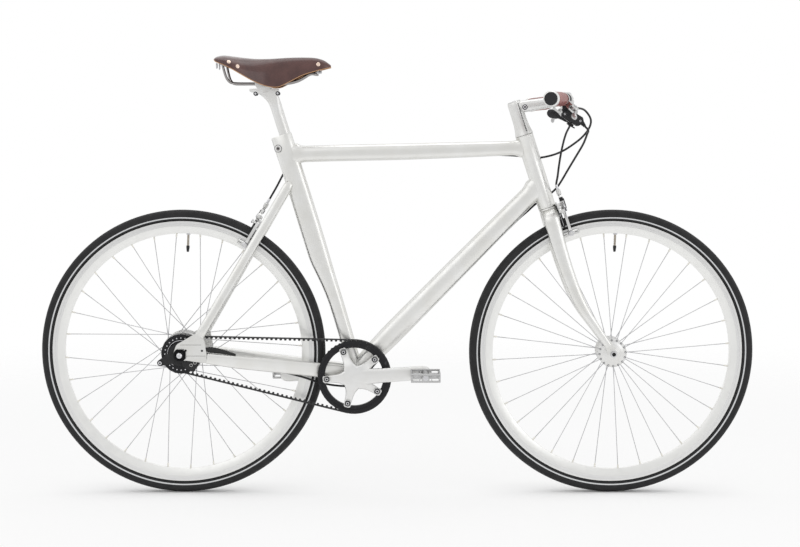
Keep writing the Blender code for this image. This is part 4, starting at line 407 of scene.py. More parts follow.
SATIN = satin_metal("bare_aluminium", (0.80, 0.80, 0.785))
SATIN_TUBE = satin_metal("bare_aluminium_tube", (0.845, 0.845, 0.83), 90)
PALE_RING = satin_metal("pale_ring", (0.88, 0.88, 0.87))
FORGED = satin_metal("forged_aluminium", (0.82, 0.82, 0.815), 150, (0.34, 0.44))
PEDAL_METAL = polished_metal("pedal_metal", (0.60, 0.60, 0.60), (0.2, 0.32))
LEVER_METAL = polished_metal("lever_metal", (0.62, 0.62, 0.62), (0.36, 0.46))
POLISHED = polished_metal("polished_aluminium")
STEEL = polished_metal("bright_steel", (0.70, 0.70, 0.72), (0.16, 0.28))
COPPER = polished_metal("copper_rivet", (0.93, 0.74, 0.62), (0.2, 0.32))
BRASS = polished_metal("nipple_brass", (0.82, 0.80, 0.74), (0.2, 0.3))
VALVE_METAL = polished_metal("valve_metal", (0.56, 0.52, 0.46), (0.2, 0.32))
SPOKE_STEEL = polished_metal("spoke_steel", (0.56, 0.56, 0.57), (0.25, 0.35))
RAIL_METAL = polished_metal("rail_metal", (0.36, 0.345, 0.34), (0.12, 0.2))
BLACK_METAL = dark_metal("black_metal", (0.026, 0.026, 0.028))
BLACK_PLASTIC = moulded("black_plastic", (0.020, 0.020, 0.021))
HOUSING_PLASTIC = moulded("cable_housing", (0.018, 0.018, 0.019), (0.3, 0.42), 2200)
# Near-black material for slits, grooves, holes, sockets, slots and gaps: painted shade where the real part only lies
# in shadow.
SHADOW = moulded("dark_recess", (0.012, 0.012, 0.012), (0.6, 0.8))
BELT_RUBBER = moulded("belt_rubber", (0.028, 0.028, 0.029), (0.55, 0.7), 900)
PAD_RUBBER = moulded("pad_rubber", (0.022, 0.022, 0.022), (0.55, 0.7), 1100)
THREAD = moulded("waxed_thread", (0.30, 0.14, 0.10), (0.5, 0.7), 2600)
SADDLE_LEATHER = leather("saddle_leather", (0.062, 0.024, 0.022), (0.112, 0.048, 0.042),
                         coat=0.6)
CUT_EDGE = leather("leather_edge", (0.46, 0.25, 0.12), (0.56, 0.33, 0.18), (0.6, 0.8))
GRIP_LEATHER = leather("grip_leather", (0.22, 0.066, 0.060), (0.35, 0.118, 0.104),
                       (0.45, 0.62))
TYRES = {which: tyre_rubber("tyre_" + which, WHEELS[which]) for which in WHEELS}
RIMS = {which: rim_metal("rim_" + which, WHEELS[which]) for which in WHEELS}
SLOTS = {
    "satin_aluminium": [SATIN, SATIN_TUBE, PALE_RING, *RIMS.values()],
    "polished_aluminium": [FORGED, PEDAL_METAL, LEVER_METAL, POLISHED],
    "bright_steel": [STEEL, COPPER, BRASS, VALVE_METAL, SPOKE_STEEL],
    "black_metal": [BLACK_METAL, RAIL_METAL],
    "black_plastic": [BLACK_PLASTIC, HOUSING_PLASTIC, SHADOW],
    "belt_rubber": [BELT_RUBBER, PAD_RUBBER],
    "brown_leather": [SADDLE_LEATHER, CUT_EDGE],
    "reddish_leather": [GRIP_LEATHER, THREAD],
    "tyre_rubber": [*TYRES.values()],
}
SLOT_OF = {material: slot for slot, group in SLOTS.items() for material in group}

# CAD nodes that stay visible.
FINISH = {
    SATIN: ["bottom_bracket_shell", "dropout_right", "dropout_left", "brake_bridge"],
    FORGED: ["saddle_clamp"],
    POLISHED: ["brake_perch_right", "brake_perch_left", "front_brake_bolt",
               "rear_brake_bolt", "front_brake_long_arm", "front_brake_short_arm",
               "rear_brake_long_arm", "rear_brake_short_arm"],
    STEEL: ["headset_bearing_lower", "headset_bearing_upper", "seat_clamp_bolt",
            "bottom_bracket", "rear_axle", "front_axle"],
    BLACK_METAL: ["front_sprocket", "rear_sprocket"],
    BLACK_PLASTIC: ["gear_joint_bracket", "gear_joint_pulley", "shifter_body",
                    "shifter_main_lever"],
    BELT_RUBBER: ["belt"],
}


def dress(piece, material):
    piece.data.materials.clear()
    piece.data.materials.append(material)


for finish, names in FINISH.items():
    for name in names:
        dress(nodes[name], finish)


# Shapes

def show(name, data):
    """Puts a mesh, lamp or camera in the scene."""
    made = bpy.data.objects.new(name, data)
    bpy.context.scene.collection.objects.link(made)
    return made


def solid(name, mesh):
    data = bpy.data.meshes.new(name)
    mesh.to_mesh(data)
    mesh.free()
    return show(name, data)


def add(name, mesh, material, body, soft=60, stands_for=None):
    """Puts a piece on a body, smooth below an angle, maybe in place of a CAD node."""
    bmesh.ops.recalc_face_normals(mesh, faces=mesh.faces)
    piece = solid(name, mesh)
    for face in piece.data.polygons:
        face.use_smooth = True
    piece.data.set_sharp_from_angle(angle=radians(soft))
    dress(piece, material)
    if body:
        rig.ride(piece, body)
    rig.slot(piece, SLOT_OF[material])
    if stands_for:
        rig.replaces(piece, stands_for)
    return piece


def loft(rings, caps=True, mesh=None):
    """Joins closed rings of points with faces, and closes both ends."""
    mesh = mesh or bmesh.new()
    made = [[mesh.verts.new(p) for p in ring] for ring in rings]
    for low, high in zip(made, made[1:]):
        for i in range(len(low)):
            j = (i + 1) % len(low)
            mesh.faces.new((low[i], low[j], high[j], high[i]))
    if caps:
        mesh.faces.new(made[0][::-1])
        mesh.faces.new(made[-1])
    return mesh


def axes_for(run):
    side = run.cross(UP if abs(run.z) < 0.9 else LEFT).normalized()
    return side, run.cross(side).normalized()


def circle(centre, across, over, radius, sides):
    """Points round a circle."""
    return [centre + (across * cos(t) + over * sin(t)) * (radius * MM) for t in turns(sides)]


def lathe(profile, centre, axis, sides, mesh=None):
    """A turned solid from (distance along the axis, radius) pairs."""
    axis = Vector(axis).normalized()
    across, over = axes_for(axis)
    return loft([circle(centre + axis * (along * MM), across, over, max(radius, 0.01), sides)
                 for along, radius in profile], mesh=mesh)


def eased(a, b, c, d, t):
    """The place at t on a smooth curve from b to c, with a before and d after."""
    pull = (c - a) * t + (a * 2 - b * 5 + c * 4 - d) * t ** 2
    return b + (pull + (b * 3 - a - c * 3 + d) * t ** 3) * 0.5


def through(points, per_span=6):
    """A smooth curve through the points."""
    ends = [points[0] * 2 - points[1], *points, points[-1] * 2 - points[-2]]
    return [eased(*ends[i - 1:i + 3], k / per_span) for i in range(1, len(ends) - 2)
            for k in range(per_span)] + [points[-1]]


def runs_of(line):
    """The direction of a line at each of its points."""
    last = len(line) - 1
    return [(line[min(k + 1, last)] - line[max(k - 1, 0)]).normalized()
            for k in range(len(line))]


def pipe(path, radius, sides, mesh=None):
    """A round tube along a line of points, of one radius or one for each point."""
    radii = radius if isinstance(radius, list) else [radius] * len(path)
    runs = runs_of(path)
    across, _ = axes_for(runs[0])
    rings = []
    for centre, run, radius in zip(path, runs, radii):
        across = (across - run * across.dot(run)).normalized()
        rings.append(circle(centre, across, run.cross(across), radius, sides))
    return loft(rings, mesh=mesh)


def hoop(rows, centre, sides, relief=None):
    """A ring about a wheel's axle; rows of (aside, radius) go round its section."""
    mesh = bmesh.new()
    made = []
    for i, angle in enumerate(turns(sides)):
        ring = []
        for aside, radius in rows:
            radius -= relief(i, aside, radius) if relief else 0
            ring.append(mesh.verts.new(about(centre, radius, angle, aside)))
        made.append(ring)
    for i in range(sides):
        low, high = made[i], made[(i + 1) % sides]
        for j in range(len(rows)):
            k = (j + 1) % len(rows)
            mesh.faces.new((low[j], low[k], high[k], high[j]))
    return mesh


def mirrored(rows):
    """Rows for one side, then the same rows for the other side in reverse."""
    return [(-aside, radius) for aside, radius in rows] + list(reversed(rows))


def block(centre, half, axes, mesh, bevel):
    """A box on three axes with its corners cut; half holds its three half sizes."""
    a, b, c = half
    cut = bevel * min(a, b)
    outline = [(a - cut, b), (a, b - cut), (a, cut - b), (a - cut, -b), (cut - a, -b),
               (-a, cut - b), (-a, b - cut), (cut - a, b)]
    point = placer(centre, *axes)
    return loft([[point(x * (1 - shrink / a), y * (1 - shrink / b), depth) for x, y in outline]
                 for depth, shrink in ((-c, cut), (cut - c, 0), (c - cut, 0), (c, cut))],
                mesh=mesh)


def oval(centre, across, up, half_wide, half_high, power=2.6, sides=48):
    """A ring of points on a rounded box or, with power 2, on an ellipse."""
    ring = []
    for t in turns(sides):
        x, z = cos(t), sin(t)
        size = (abs(x) ** power + abs(z) ** power) ** (-1 / power)
        ring.append(centre + across * half_wide * size * x * MM + up * half_high * size * z * MM)
    return ring


def between(rows, place):
    """The row at a place, on straight lines between the rows that are given."""
    for low, high in zip(rows, rows[1:]):
        if place <= high[0] or high is rows[-1]:
            t = min(1, max(0, (place - low[0]) / (high[0] - low[0])))
            return [a + (b - a) * t for a, b in zip(low, high)]


STOCK = {}


def stock(body, material, label):
    """The mesh that gathers the small pieces of one kind on one body."""
    return STOCK.setdefault((body, material, label), bmesh.new())


def turned(profile, spot, axis, sides, *kind):
    """A turned solid among the small pieces of its kind: body, material and label."""
    lathe(profile, spot, axis, sides, stock(*kind))


def slab(centre, half, axes, *kind, bevel=0.2):
    block(centre, half, axes, stock(*kind), bevel)


def strand(path, radius, sides, *kind):
    pipe(path, radius, sides, stock(*kind))


def socket_screw(spot, out, radius, height, body, metal, label):
    """Cap screw: a rounded head with a six-sided socket drawn as painted shade."""
    turned([(-0.5, radius), (height * 0.7, radius), (height, radius * 0.86),
            (height, radius * 0.56), (height * 0.4, radius * 0.52)], spot, out, 20,
           body, metal, label)
    # Painted shade: a near-black six-sided piece in the head's socket.
    turned([(height * 0.3, radius * 0.5), (height * 0.46, radius * 0.5)], spot, out, 6,
           body, SHADOW, label + "_socket")


def ribbed(low, high, radius, depth, count):
    """Profile of a collar with fine ribs round it."""
    step = (high - low) / count
    rows = []
    for start in [low + k * step for k in range(count)]:
        rows += [(start, radius - depth), (start + step * 0.25, radius),
                 (start + step * 0.75, radius)]
    return rows + [(high, radius - depth)]


# Saddle

# Stations from the rear plate to the nose: x, top, half width, lower edge.
SADDLE_SHAPE = [(-441, 1044, 62, 1038), (-436, 1048, 70, 1033), (-420, 1050.5, 78, 1027),
                (-400, 1048.5, 80, 1018), (-375, 1045.5, 73, 1004), (-345, 1043, 58, 988),
                (-315, 1043, 45, 977), (-288, 1044.5, 38, 975.5), (-262, 1046, 33, 987),
                (-230, 1046.5, 28, 1003), (-200, 1045.5, 23.5, 1012.5),
                (-178, 1040, 19, 1018), (-165, 1032, 13, 1021), (-160, 1028, 9, 1022)]
SADDLE_NOSE = -160
SADDLE_SHRINK = 0.966
SADDLE_ROUNDNESS = 0.77
# How far the leather's two faces lie under the saddle's shape.
OUTSIDE, INSIDE = 0.4, 4.4
SADDLE_LAST = len(SADDLE_SHAPE) - 1
SADDLE_PLACES = [k / 4 for k in range(SADDLE_LAST * 4 + 1)]


def saddle_row(t):
    """Station of the saddle at t, smooth between the shape's rows."""
    i = min(int(t), SADDLE_LAST - 1)
    rows = [SADDLE_SHAPE[max(0, min(SADDLE_LAST, i + k))] for k in (-1, 0, 1, 2)]
    return [eased(*column, t - i) for column in zip(*rows)]


def saddle_point(t, share, inset=0.0):
    """A point of the leather: t along, share from the right edge over to the left one."""
    x, top, wide, low = saddle_row(t)
    angle = pi * (share - 0.5)
    reach = abs(sin(angle)) ** SADDLE_ROUNDNESS * (wide - inset)
    rise = abs(cos(angle)) ** SADDLE_ROUNDNESS * (top - low - inset)
    x = SADDLE_NOSE + 2 + (x - SADDLE_NOSE) * SADDLE_SHRINK
    return mm(x, reach if angle > 0 else -reach, low + rise)


def saddle_cover():
    """Thick leather from the rear plate to the nose, its cut edge in a paler tone."""
    count = 26
    shares = [k / count for k in range(count + 1)]
    rings = [[saddle_point(t, share, OUTSIDE) for share in shares]
             + [saddle_point(t, share, INSIDE) for share in reversed(shares)]
             for t in SADDLE_PLACES]
    piece = add("saddle_leather", loft(rings), SADDLE_LEATHER, "saddle", 50, "saddle_cover")
    piece.data.materials.append(CUT_EDGE)
    size = 2 * (count + 1)
    for face in piece.data.polygons:
        places = {v % size for v in face.vertices}
        if len(face.vertices) > 4 or places in ({count, count + 1}, {0, size - 1}):
            face.material_index = 1


def rivet(name, t, share, inset=OUTSIDE):
    """Domed rivet head on the leather, hammered flat at its rim."""
    forth = saddle_point(t + 0.05, share) - saddle_point(t - 0.05, share)
    over = saddle_point(t, share + 0.01) - saddle_point(t, share - 0.01)
    out = over.cross(forth).normalized()
    if out.dot(saddle_point(t, share) - mm(-300, 0, 1000)) <= 0:
        out = -out
    profile = [(-0.8, 4.8), (0.3, 5.0), (0.9, 4.3), (1.3, 2.8), (1.5, 0.3)]
    add("saddle_rivet_" + name, lathe(profile, saddle_point(t, share, inset), out, 20),
        COPPER, "saddle", 70)


def rail_line(half, per_span):
    """A smooth line from the right side to the left one; half holds the left side's points."""
    right = [SEAT_HEAD + mm(x, -y, z) for x, y, z in half]
    left = [SEAT_HEAD + mm(*p) for p in reversed(half[:-1])]
    return through(right + left, per_span)


def saddle_rails():
    """One bent rail round the nose, with the cantle plate and the nose piece."""
    rail = [(-94, 52, 47), (-92, 50, 36), (-87, 45, 17), (-82, 40, 7), (-74, 35.5, 1.2),
            (-58, 27, 0), (-28, 22, 0), (29, 22, 0), (46, 21, 0.4), (62, 18.5, 2.4),
            (76, 15.5, 5.6), (87, 13, 10.2), (97.5, 11.5, 16.2), (106, 10, 21.4),
            (114, 8, 23.6), (122, 5.5, 22.4), (127, 0, 21.6)]
    mesh = pipe(rail_line(rail, 4), 3.0, 16)
    plate = rail_line([(-79, 66, 42.5), (-92.5, 58, 46.5), (-101.5, 42, 50.5),
                       (-105.5, 20, 53), (-106.5, 0, 53.8)], 5)
    loft([oval(centre, run.cross(UP).normalized(), UP, 1.8, 5.6, 5, 20)
          for centre, run in zip(plate, runs_of(plate))], mesh=mesh)
    nose = ((121, 25, 6, 2.5), (127, 29.5, 8.5, 3), (134, 35, 10.5, 2.8),
            (139, 39.5, 10.5, 2.4), (144, 45, 8, 2))
    loft([oval(SEAT_HEAD + mm(x, 0, z), LEFT, Vector((-0.6, 0, 0.8)), wide, thick, 2.4, 24)
          for x, z, wide, thick in nose], mesh=mesh)
    add("saddle_rails", mesh, RAIL_METAL, "saddle", 50, "saddle_frame")


def saddle_details():
    """Edge of the leather, loops for a bag, and the nose's bolt and nut."""
    for side in (0, 1):
        strand([saddle_point(t, side, 1.3) for t in SADDLE_PLACES], 1.1, 10,
               "saddle", CUT_EDGE, "saddle_edge")
    for side in (-1, 1):
        loop = [mm(-426.5, side * (30 + 8 * cos(a)), 1031 - 12 * sin(a))
                for a in sweep(0, 18, 11)]
        strand(loop, 1.3, 8, "saddle", STEEL, "saddle_bag_loop")
    ahead = Vector((1, 0, 0.05))
    turned([(0, 3.0), *ribbed(1, 26, 3.1, 0.35, 22), (26.5, 2.6)], mm(-206, 0, 1009.5),
           ahead, 16, "saddle", STEEL, "saddle_nose_bolt")
    turned([(0, 5.4), (4.5, 5.4), (5, 4.9)], mm(-192, 0, 1010.2), ahead, 6,
           "saddle", STEEL, "saddle_nose_nut")


saddle_cover()
for number, (t, share) in enumerate([(2.84, 0.11), (3.72, 0.085), (10.4, 0.13)]):
    rivet(f"{number}r", t, share)
    rivet(f"{number}l", t, 1 - share)
rivet("middle", 2.3, 0.5, 1.9)
saddle_rails()
saddle_details()


# Frame tubes

BORE = 18.5
# Steps away from a joint at which a weld gets a ring.
WELD = (0, 1, 2.5, 5, 8, 12, 17, 24)
STAY_RUN = ray(radians(59.6))


def coped(ring, run):
    """The ring moved along the run until it clears the bottom bracket's bore."""
    made = []
    for point in ring:
        offset = point - BB
        offset.y = 0
        along = offset.dot(run)
        room = (BORE * MM) ** 2 - (offset.length_squared - along ** 2)
        ahead = max(0, sqrt(room) - along) if room > 0 else max(0, -along)
        made.append(point + run * ahead)
    return made


def rounds(point, forward, rows, lead=0, sides=48):
    """Round rings on the head's or the seat's axis, from rows of (place, radius)."""
    return [oval(point(up, lead), forward, LEFT, r, r, 2, sides) for up, r in rows]


def main_tube(name, start, end, rows, near, far, swell, cope=False):
    """Tube between two points, with a smooth weld where it meets the tube at each end."""
    run = (end - start).normalized()
    up = LEFT.cross(run) * -1
    length = (end - start).length / MM
    point = placer(start, run, up)
    places = {0.0, length} | {length * k / 12 for k in range(1, 12)}
    places |= {near + step for step in WELD} if swell[0] else set()
    places |= {length - far - step for step in WELD} if swell[1] else set()
    rings = []
    for place in sorted(places):
        _, offset, half_wide, half_high = between(rows, place / length)
        grow = 0
        for size, gone in ((swell[0], place - near), (swell[1], length - far - place)):
            if size and gone < WELD[-1]:
                grow += size * (1 - max(0, gone) / WELD[-1]) ** 3
        rings.append(oval(point(place, offset), LEFT, up, half_wide + 0.12 * grow,
                          half_high + grow))
    if cope:
        rings[0] = coped(rings[0], run)
    add(name + "_tube", loft(rings), SATIN_TUBE, "frame", 50, name)


# Place on the seat tube's axis, then its rear and front edges from that axis.
SEAT_TUBE_EDGES = [(0, -12, 23), (60, -9, 25), (110, -7.6, 26.2), (150, -7.0, 27.2),
                   (180, -6.9, 27.9), (205, -8.0, 28.1), (230, -10.4, 28.3), (257, -14.2, 28.8),
                   (280, -17.6, 29.4), (292, -18.9, 29.7), (305, -19.4, 30.0),
                   (330, -19.3, 30.6), (400, -18.7, 31.6), (450, -18.1, 31.8),
                   (545, -17.8, 31.8), (598, -17.6, 31.8), (600, -16.8, 31.0)]
POST_LEAD = 16.2
SEAT_CLAMP = (572, -9)
TUBE_HALF_WIDTH, TUBE_END_HALF_WIDTH = 16.2, 15.4


def seat_tube():
    """Deep flattened tube, cut back at the rear wheel and bored for the post."""
    rings = [oval(seat(up, (front + back) / 2), SEAT_FORWARD, LEFT, (front - back) / 2,
                  TUBE_HALF_WIDTH if up < 599 else TUBE_END_HALF_WIDTH)
             for up, back, front in SEAT_TUBE_EDGES]
    rings[0] = coped(rings[0], SEAT_UP)
    rings += rounds(seat, SEAT_FORWARD, ((600, 14.3), (599, 13.9), (405, 13.9)), POST_LEAD)
    add("seat_tube_body", loft(rings), SATIN_TUBE, "frame", 50, "seat_tube")
    # Painted shade in the slit at the rear of the seat tube's clamp.
    slab(seat(571, -17.75), (1.1, 27, 0.3), (LEFT, SEAT_UP, -SEAT_FORWARD),
         "frame", SHADOW, "seat_slit")


def stay(name, path, halves, power, cope=False):
    """Curved stay from its lower end; halves give half width and half height at each point."""
    line = through(path, 5)
    rings = []
    for k, (centre, run) in enumerate(zip(line, runs_of(line))):
        up = (run.cross(LEFT) * -1).normalized()
        span = min(len(halves) - 2, k // 5)
        wide, tall = [a + (b - a) * (k / 5 - span)
                      for a, b in zip(halves[span], halves[span + 1])]
        rings.append(oval(centre, up.cross(run).normalized(), up, wide, tall, power, 32))
    if cope:
        run = (line[0] - line[-1]).normalized()
        run.y = 0
        rings[-1] = coped(rings[-1], run.normalized())
    add(name + "_tube", loft(rings), SATIN_TUBE, "frame", 50, name)


def stays():
    """Seat stays and chain stays, from the dropouts to the frame's middle."""
    seats = [(0, 71), (30, 70), (150, 51), (262, 31), (330, 21.5), (395, 15.8), (408, 14.4),
             (416, 12.6), (420, 10.5)]
    seat_sizes = [(7, 11)] * 6 + [(6.7, 10.8), (5.4, 9.2), (2.5, 5)]
    chains = [(0, 71, 0), (0.063, 68.5, -0.6), (0.2, 60.8, -1.6), (0.44, 46, -1.2),
              (0.76, 29.5, -0.3), (1, 21, 0)]
    chain_sizes = [(7, half) for half in (12.4, 13.2, 14.8, 16.2, 17.2, 17.2)]
    point = placer(REAR_AXLE + mm(47, 0, 46), STAY_RUN, LEFT)
    rear, head = REAR_AXLE + mm(63.5, 0, -8), BB + mm(-4.8, 0, 4)
    for label, side in SIDES:
        stay("seat_stay_" + label, [point(d, side * a) for d, a in seats], seat_sizes, 2.8)
        stay("chain_stay_" + label, [rear.lerp(head, t) + mm(0, side * a, b)
                                     for t, a, b in chains], chain_sizes, 4, True)


def head_tube():
    """Hollow head tube with a fine bead at each end."""
    bands = [(0, 20.6), (0.8, 21.3), (3.6, 21.3), (4.2, 21.0), (177.3, 21.0), (177.9, 21.3),
             (180.7, 21.3), (181.5, 20.6), (181.5, 18.2), (181, 17.8), (0.5, 17.8), (0, 18.2),
             (0, 20.6)]
    mesh = loft(rounds(steer, STEER_FORWARD, bands, 0, 64), caps=False)
    bmesh.ops.remove_doubles(mesh, verts=mesh.verts, dist=1e-6)
    add("head_tube_body", mesh, SATIN_TUBE, "frame", 50, "head_tube")


def fork_blades():
    """Crown and blades in one sweep, the steerer's shoulder, and slotted tips."""
    half = [(-13.4, 0, 0, 20.4, 12.4), (-14.8, 0, 14, 20.3, 13),
            (-24.5, -0.3, 27.2, 19.4, 12.6), (-39, -1.1, 32.4, 18.6, 10.8),
            (-60.1, -2.0, 34.5, 18, 9.5), (-105.1, -3.8, 39, 17, 9),
            (-159.9, -3.5, 43, 15.6, 8.5), (-217, -0.5, 47, 14.3, 8),
            (-260.1, 7.0, 50, 12.3, 7.5), (-294.1, 17.0, 51.5, 10.7, 7),
            (-330, 28.0, 52.6, 9, 6), (-356.1, 35.5, 53.2, 8, 4.5)]
    rows = [(up, ahead, -aside, *size) for up, ahead, aside, *size in reversed(half[1:])] + half
    line = through([steer(*row[:3]) for row in rows], 4)
    sizes = through([Vector(row[3:]) for row in rows], 4)
    rings = []
    for centre, run, size in zip(line, runs_of(line), sizes):
        thick = run.cross(STEER_FORWARD).normalized()
        rings.append(oval(centre, thick.cross(run).normalized(), thick, *size, 2.3, 32))
    mesh = loft(rings)
    shoulder = [(-26, 17.5), (-22, 19.6), (-19, 20.4), (-1.2, 20.8), (-0.5, 20.2), (-0.5, 17),
                (0, 14.3), (175, 14.3), (176, 13.9)]
    loft(rounds(steer, STEER_FORWARD, shoulder), mesh=mesh)
    outline = [(-8, 34), (8, 34), (10, 22), (12.4, 6), (12, -3), (9.4, -8.6), (5.4, -11), (2, -11)]
    outline += [(-x, z) for x, z in reversed(outline[2:])]
    point = placer(FRONT_AXLE, ray(radians(28)), square_to(radians(28)), LEFT)
    for depths in ((-55.8, -50.3), (50.3, 55.8)):
        loft([[point(x, z, depth) for x, z in outline] for depth in depths], mesh=mesh)
    add("fork_body", mesh, SATIN_TUBE, "steering", 50, "fork")


main_tube("top_tube", Vector((-0.24996, 0, 0.81247)), Vector((0.30001, 0, 0.82763)),
          [(0, 3.8, 15.6, 19.2), (0.2, 3.9, 15.6, 19.4), (0.47, 2.6, 15.6, 19.4),
           (0.73, 3.0, 15.3, 18.4), (0.9, 3.7, 15.2, 17.2), (1, 4.1, 15.0, 16.9)],
          12.5, 7.0, (6, 6))
main_tube("down_tube", BB + mm(11.2, 0, 17), Vector((0.34198, 0, 0.73697)),
          [(0, 0.5, 20, 19), (0.06, 0.6, 20, 22.6), (0.13, 1.0, 20, 25.6),
           (0.22, 1.6, 19.5, 25.9), (0.45, 2.7, 18.9, 25.3), (0.68, 3.9, 18.2, 24.1),
           (0.9, 4.9, 17.6, 22.9), (1, 5.2, 17.4, 22.5)], 0, 17, (0, 5), True)
seat_tube()
stays()
head_tube()
fork_blades()


# Wheels

TYRE_SECTION = [(7.6, 311.2), (7.7, 315.5), (9.4, 316.8), (12.4, 319.3), (14.4, 322.0),
                (15.5, 325.2), (15.95, 328.8), (15.6, 332.0), (14.5, 334.8), (12.6, 337.2),
                (10.0, 339.2), (6.8, 340.7), (3.4, 341.6), (0.9, 341.9)]
RIM_SECTION = [(3.0, 285.0), (4.2, 285.6), (6.5, 290.6), (8.6, 297.0), (9.8, 302.0),
               (9.95, 303.2), (9.6, 303.5), (9.6, 308.1), (9.2, 308.4), (9.2, 308.9),
               (9.6, 309.2), (9.6, 313.6), (9.95, 313.9), (9.95, 314.8), (9.7, 315.0),
               (8.2, 315.0), (8.0, 314.6), (8.0, 310.6)]
FRONT_HUB_SECTION = [(49.7, 5.4), (49.7, 8.6), (49.2, 9.0), (43.0, 10.4), (41.6, 11.6),
                     (39.4, 20.5), (38.2, 24.6), (37.0, 27.2), (36.7, 29.0), (36.7, 33.3),
                     (36.1, 34.0), (33.9, 34.0), (33.3, 33.4), (33.3, 27.5), (31.6, 21.5),
                     (28.6, 17.2), (24.0, 15.2), (12.0, 14.6), (1.0, 14.5)]
REAR_HUB_SECTION = [(-37.3, 5.4), (-37.3, 32.6), (-36.6, 33.2), (-27.4, 37.0), (-26.7, 38.5),
                    (-26.7, 49.2), (-26.1, 50.0), (-23.9, 50.0), (-23.3, 49.2), (-23.3, 43.4),
                    (-21.5, 42.0), (-8, 41.4), (8, 41.4), (24.3, 42.0), (26.3, 43.4),
                    (26.3, 49.2), (26.9, 50.0), (29.1, 50.0), (29.7, 49.2), (29.7, 39.0),
                    (30.6, 37.6), (38.0, 33.0), (44.6, 22.4), (46.0, 21.0), (59.0, 17.0),
                    (60.4, 15.8), (66.6, 11.2), (67.1, 10.6), (67.1, 5.4)]
NIPPLE_RADIUS = 285.3
VALVE_HEIGHT = 286.5
SIPE_DEPTH = 0.55
SIPE_STEP = 6
# How far each wheel's spokes and valve are turned, clockwise seen from the right.
WHEEL_TURN = {"front": radians(1.6), "rear": radians(2.8)}


def tread(i, aside, radius):
    """Depth of the shallow sipes on the tread's shoulders."""
    if not 337 < radius < 341:
        return 0.0
    shift = {337.2: 0, 339.2: 1, 340.7: 2}.get(radius, 0)
    lean = i + (shift if aside > 0 else -shift)
    return SIPE_DEPTH if lean % SIPE_STEP == 0 else 0.0


def wheel(which, hub_section, laced):
    """Tyre, rim, hub, spokes, nipples and valve of one wheel."""
    centre, body = WHEELS[which], which + "_wheel"
    add(which + "_tyre_round", hoop(mirrored(TYRE_SECTION), centre, 360, tread),
        TYRES[which], body, 50, which + "_tyre")
    add(which + "_rim_round", hoop(mirrored(RIM_SECTION), centre, 144),
        RIMS[which], body, 24, which + "_rim")
    add(which + "_hub_shell", hoop(hub_section, centre, 96), FORGED, body, 24, which + "_hub")
    spokes, nipples = bmesh.new(), bmesh.new()
    for hub_place, hub_radius, hub_angle, rim_place, rim_angle, head, face in laced:
        start = about(centre, hub_radius, hub_angle, hub_place)
        end = about(centre, NIPPLE_RADIUS, rim_angle, rim_place)
        pipe([start.lerp(end, t) for t in (0, 0.08, 0.12, 0.5, 0.86, 0.9, 1)],
             [1.0, 1.0, 0.85, 0.82, 0.85, 1.0, 1.0], 8, spokes)
        lathe([(0, 2.2), (0.8, 2.2), (1.4, 1.9), (6.5, 1.9), (7.6, 1.5), (9.2, 1.35)],
              end, start - end, 8, nipples)
        spot = about(centre, hub_radius, hub_angle, head)
        # Painted shade: a near-black disc in each spoke hole, under the spoke's head.
        turned([(-0.2, 2.5), (0.06, 2.5)], spot, LEFT * face, 16,
               body, SHADOW, which + "_spoke_hole")
        turned([(0, 1.4), (0.5, 1.5), (0.9, 1.1), (1.05, 0.4)], spot, LEFT * face, 12,
               body, STEEL, which + "_spoke_head")
    add(which + "_spokes", spokes, SPOKE_STEEL, body)
    add(which + "_nipples", nipples, BRASS, body)
    up = square_to(-WHEEL_TURN[which])
    foot = centre + up * VALVE_HEIGHT * MM
    for label, material, sides, profile in (
            ("_valve_nut", STEEL, 6, [(0, 5.2), (3.6, 5.2), (4.2, 4.6)]),
            ("_valve_stem", VALVE_METAL, 16,
             [(0, 2.8), *ribbed(4.5, 32, 2.8, 0.3, 30), (33, 2.6)]),
            ("_valve_cap", BLACK_PLASTIC, 20,
             [(30.5, 3.4), (31.5, 4.0), (34.5, 4.1), (43, 3.1), (45.2, 2.7), (45.8, 1.6)])):
        turned(profile, foot, -up, sides, body, material, which + label)


def lacing():
    """Rows for both wheels' spokes.

    Each has the place, radius and turn at the hub, the place and turn at the rim, and where
    the head sits and which way it faces.
    """
    front, rear = [], []
    for k in range(32):
        side = 1 if k % 2 else -1
        angle = 2 * pi * (k + 0.5) / 32 - WHEEL_TURN["front"]
        front.append((side * 35, 31, angle, side * 3, angle, side * 36.7, side))
    for flange, side, phase, heads in ((-25, -1, 0.25, (-23.3, -23.3)),
                                       (28, 1, 0.75, (26.3, 29.7))):
        for k in range(16):
            outward = 1 if k % 2 else -1
            angle = 2 * pi * (k + phase) / 16 - WHEEL_TURN["rear"]
            rear.append((flange + outward * 1.5, 46.5, angle, side * 3,
                         angle + outward * radians(45), heads[k % 2], outward))
    return front, rear


front_laced, rear_laced = lacing()
wheel("front", mirrored(FRONT_HUB_SECTION), front_laced)
wheel("rear", REAR_HUB_SECTION, rear_laced)


# Drive

CRANK_LEAN = radians(4)
CRANK_LENGTH = 170
SPIDER = sweep(40.5, 72, 5)
SCREW_RADIUS, SCREW_PLANE = 65, 58.6
PEDAL_MIDDLE = 118
END_PLATE, CAGE_PLATE = 40.8, 33


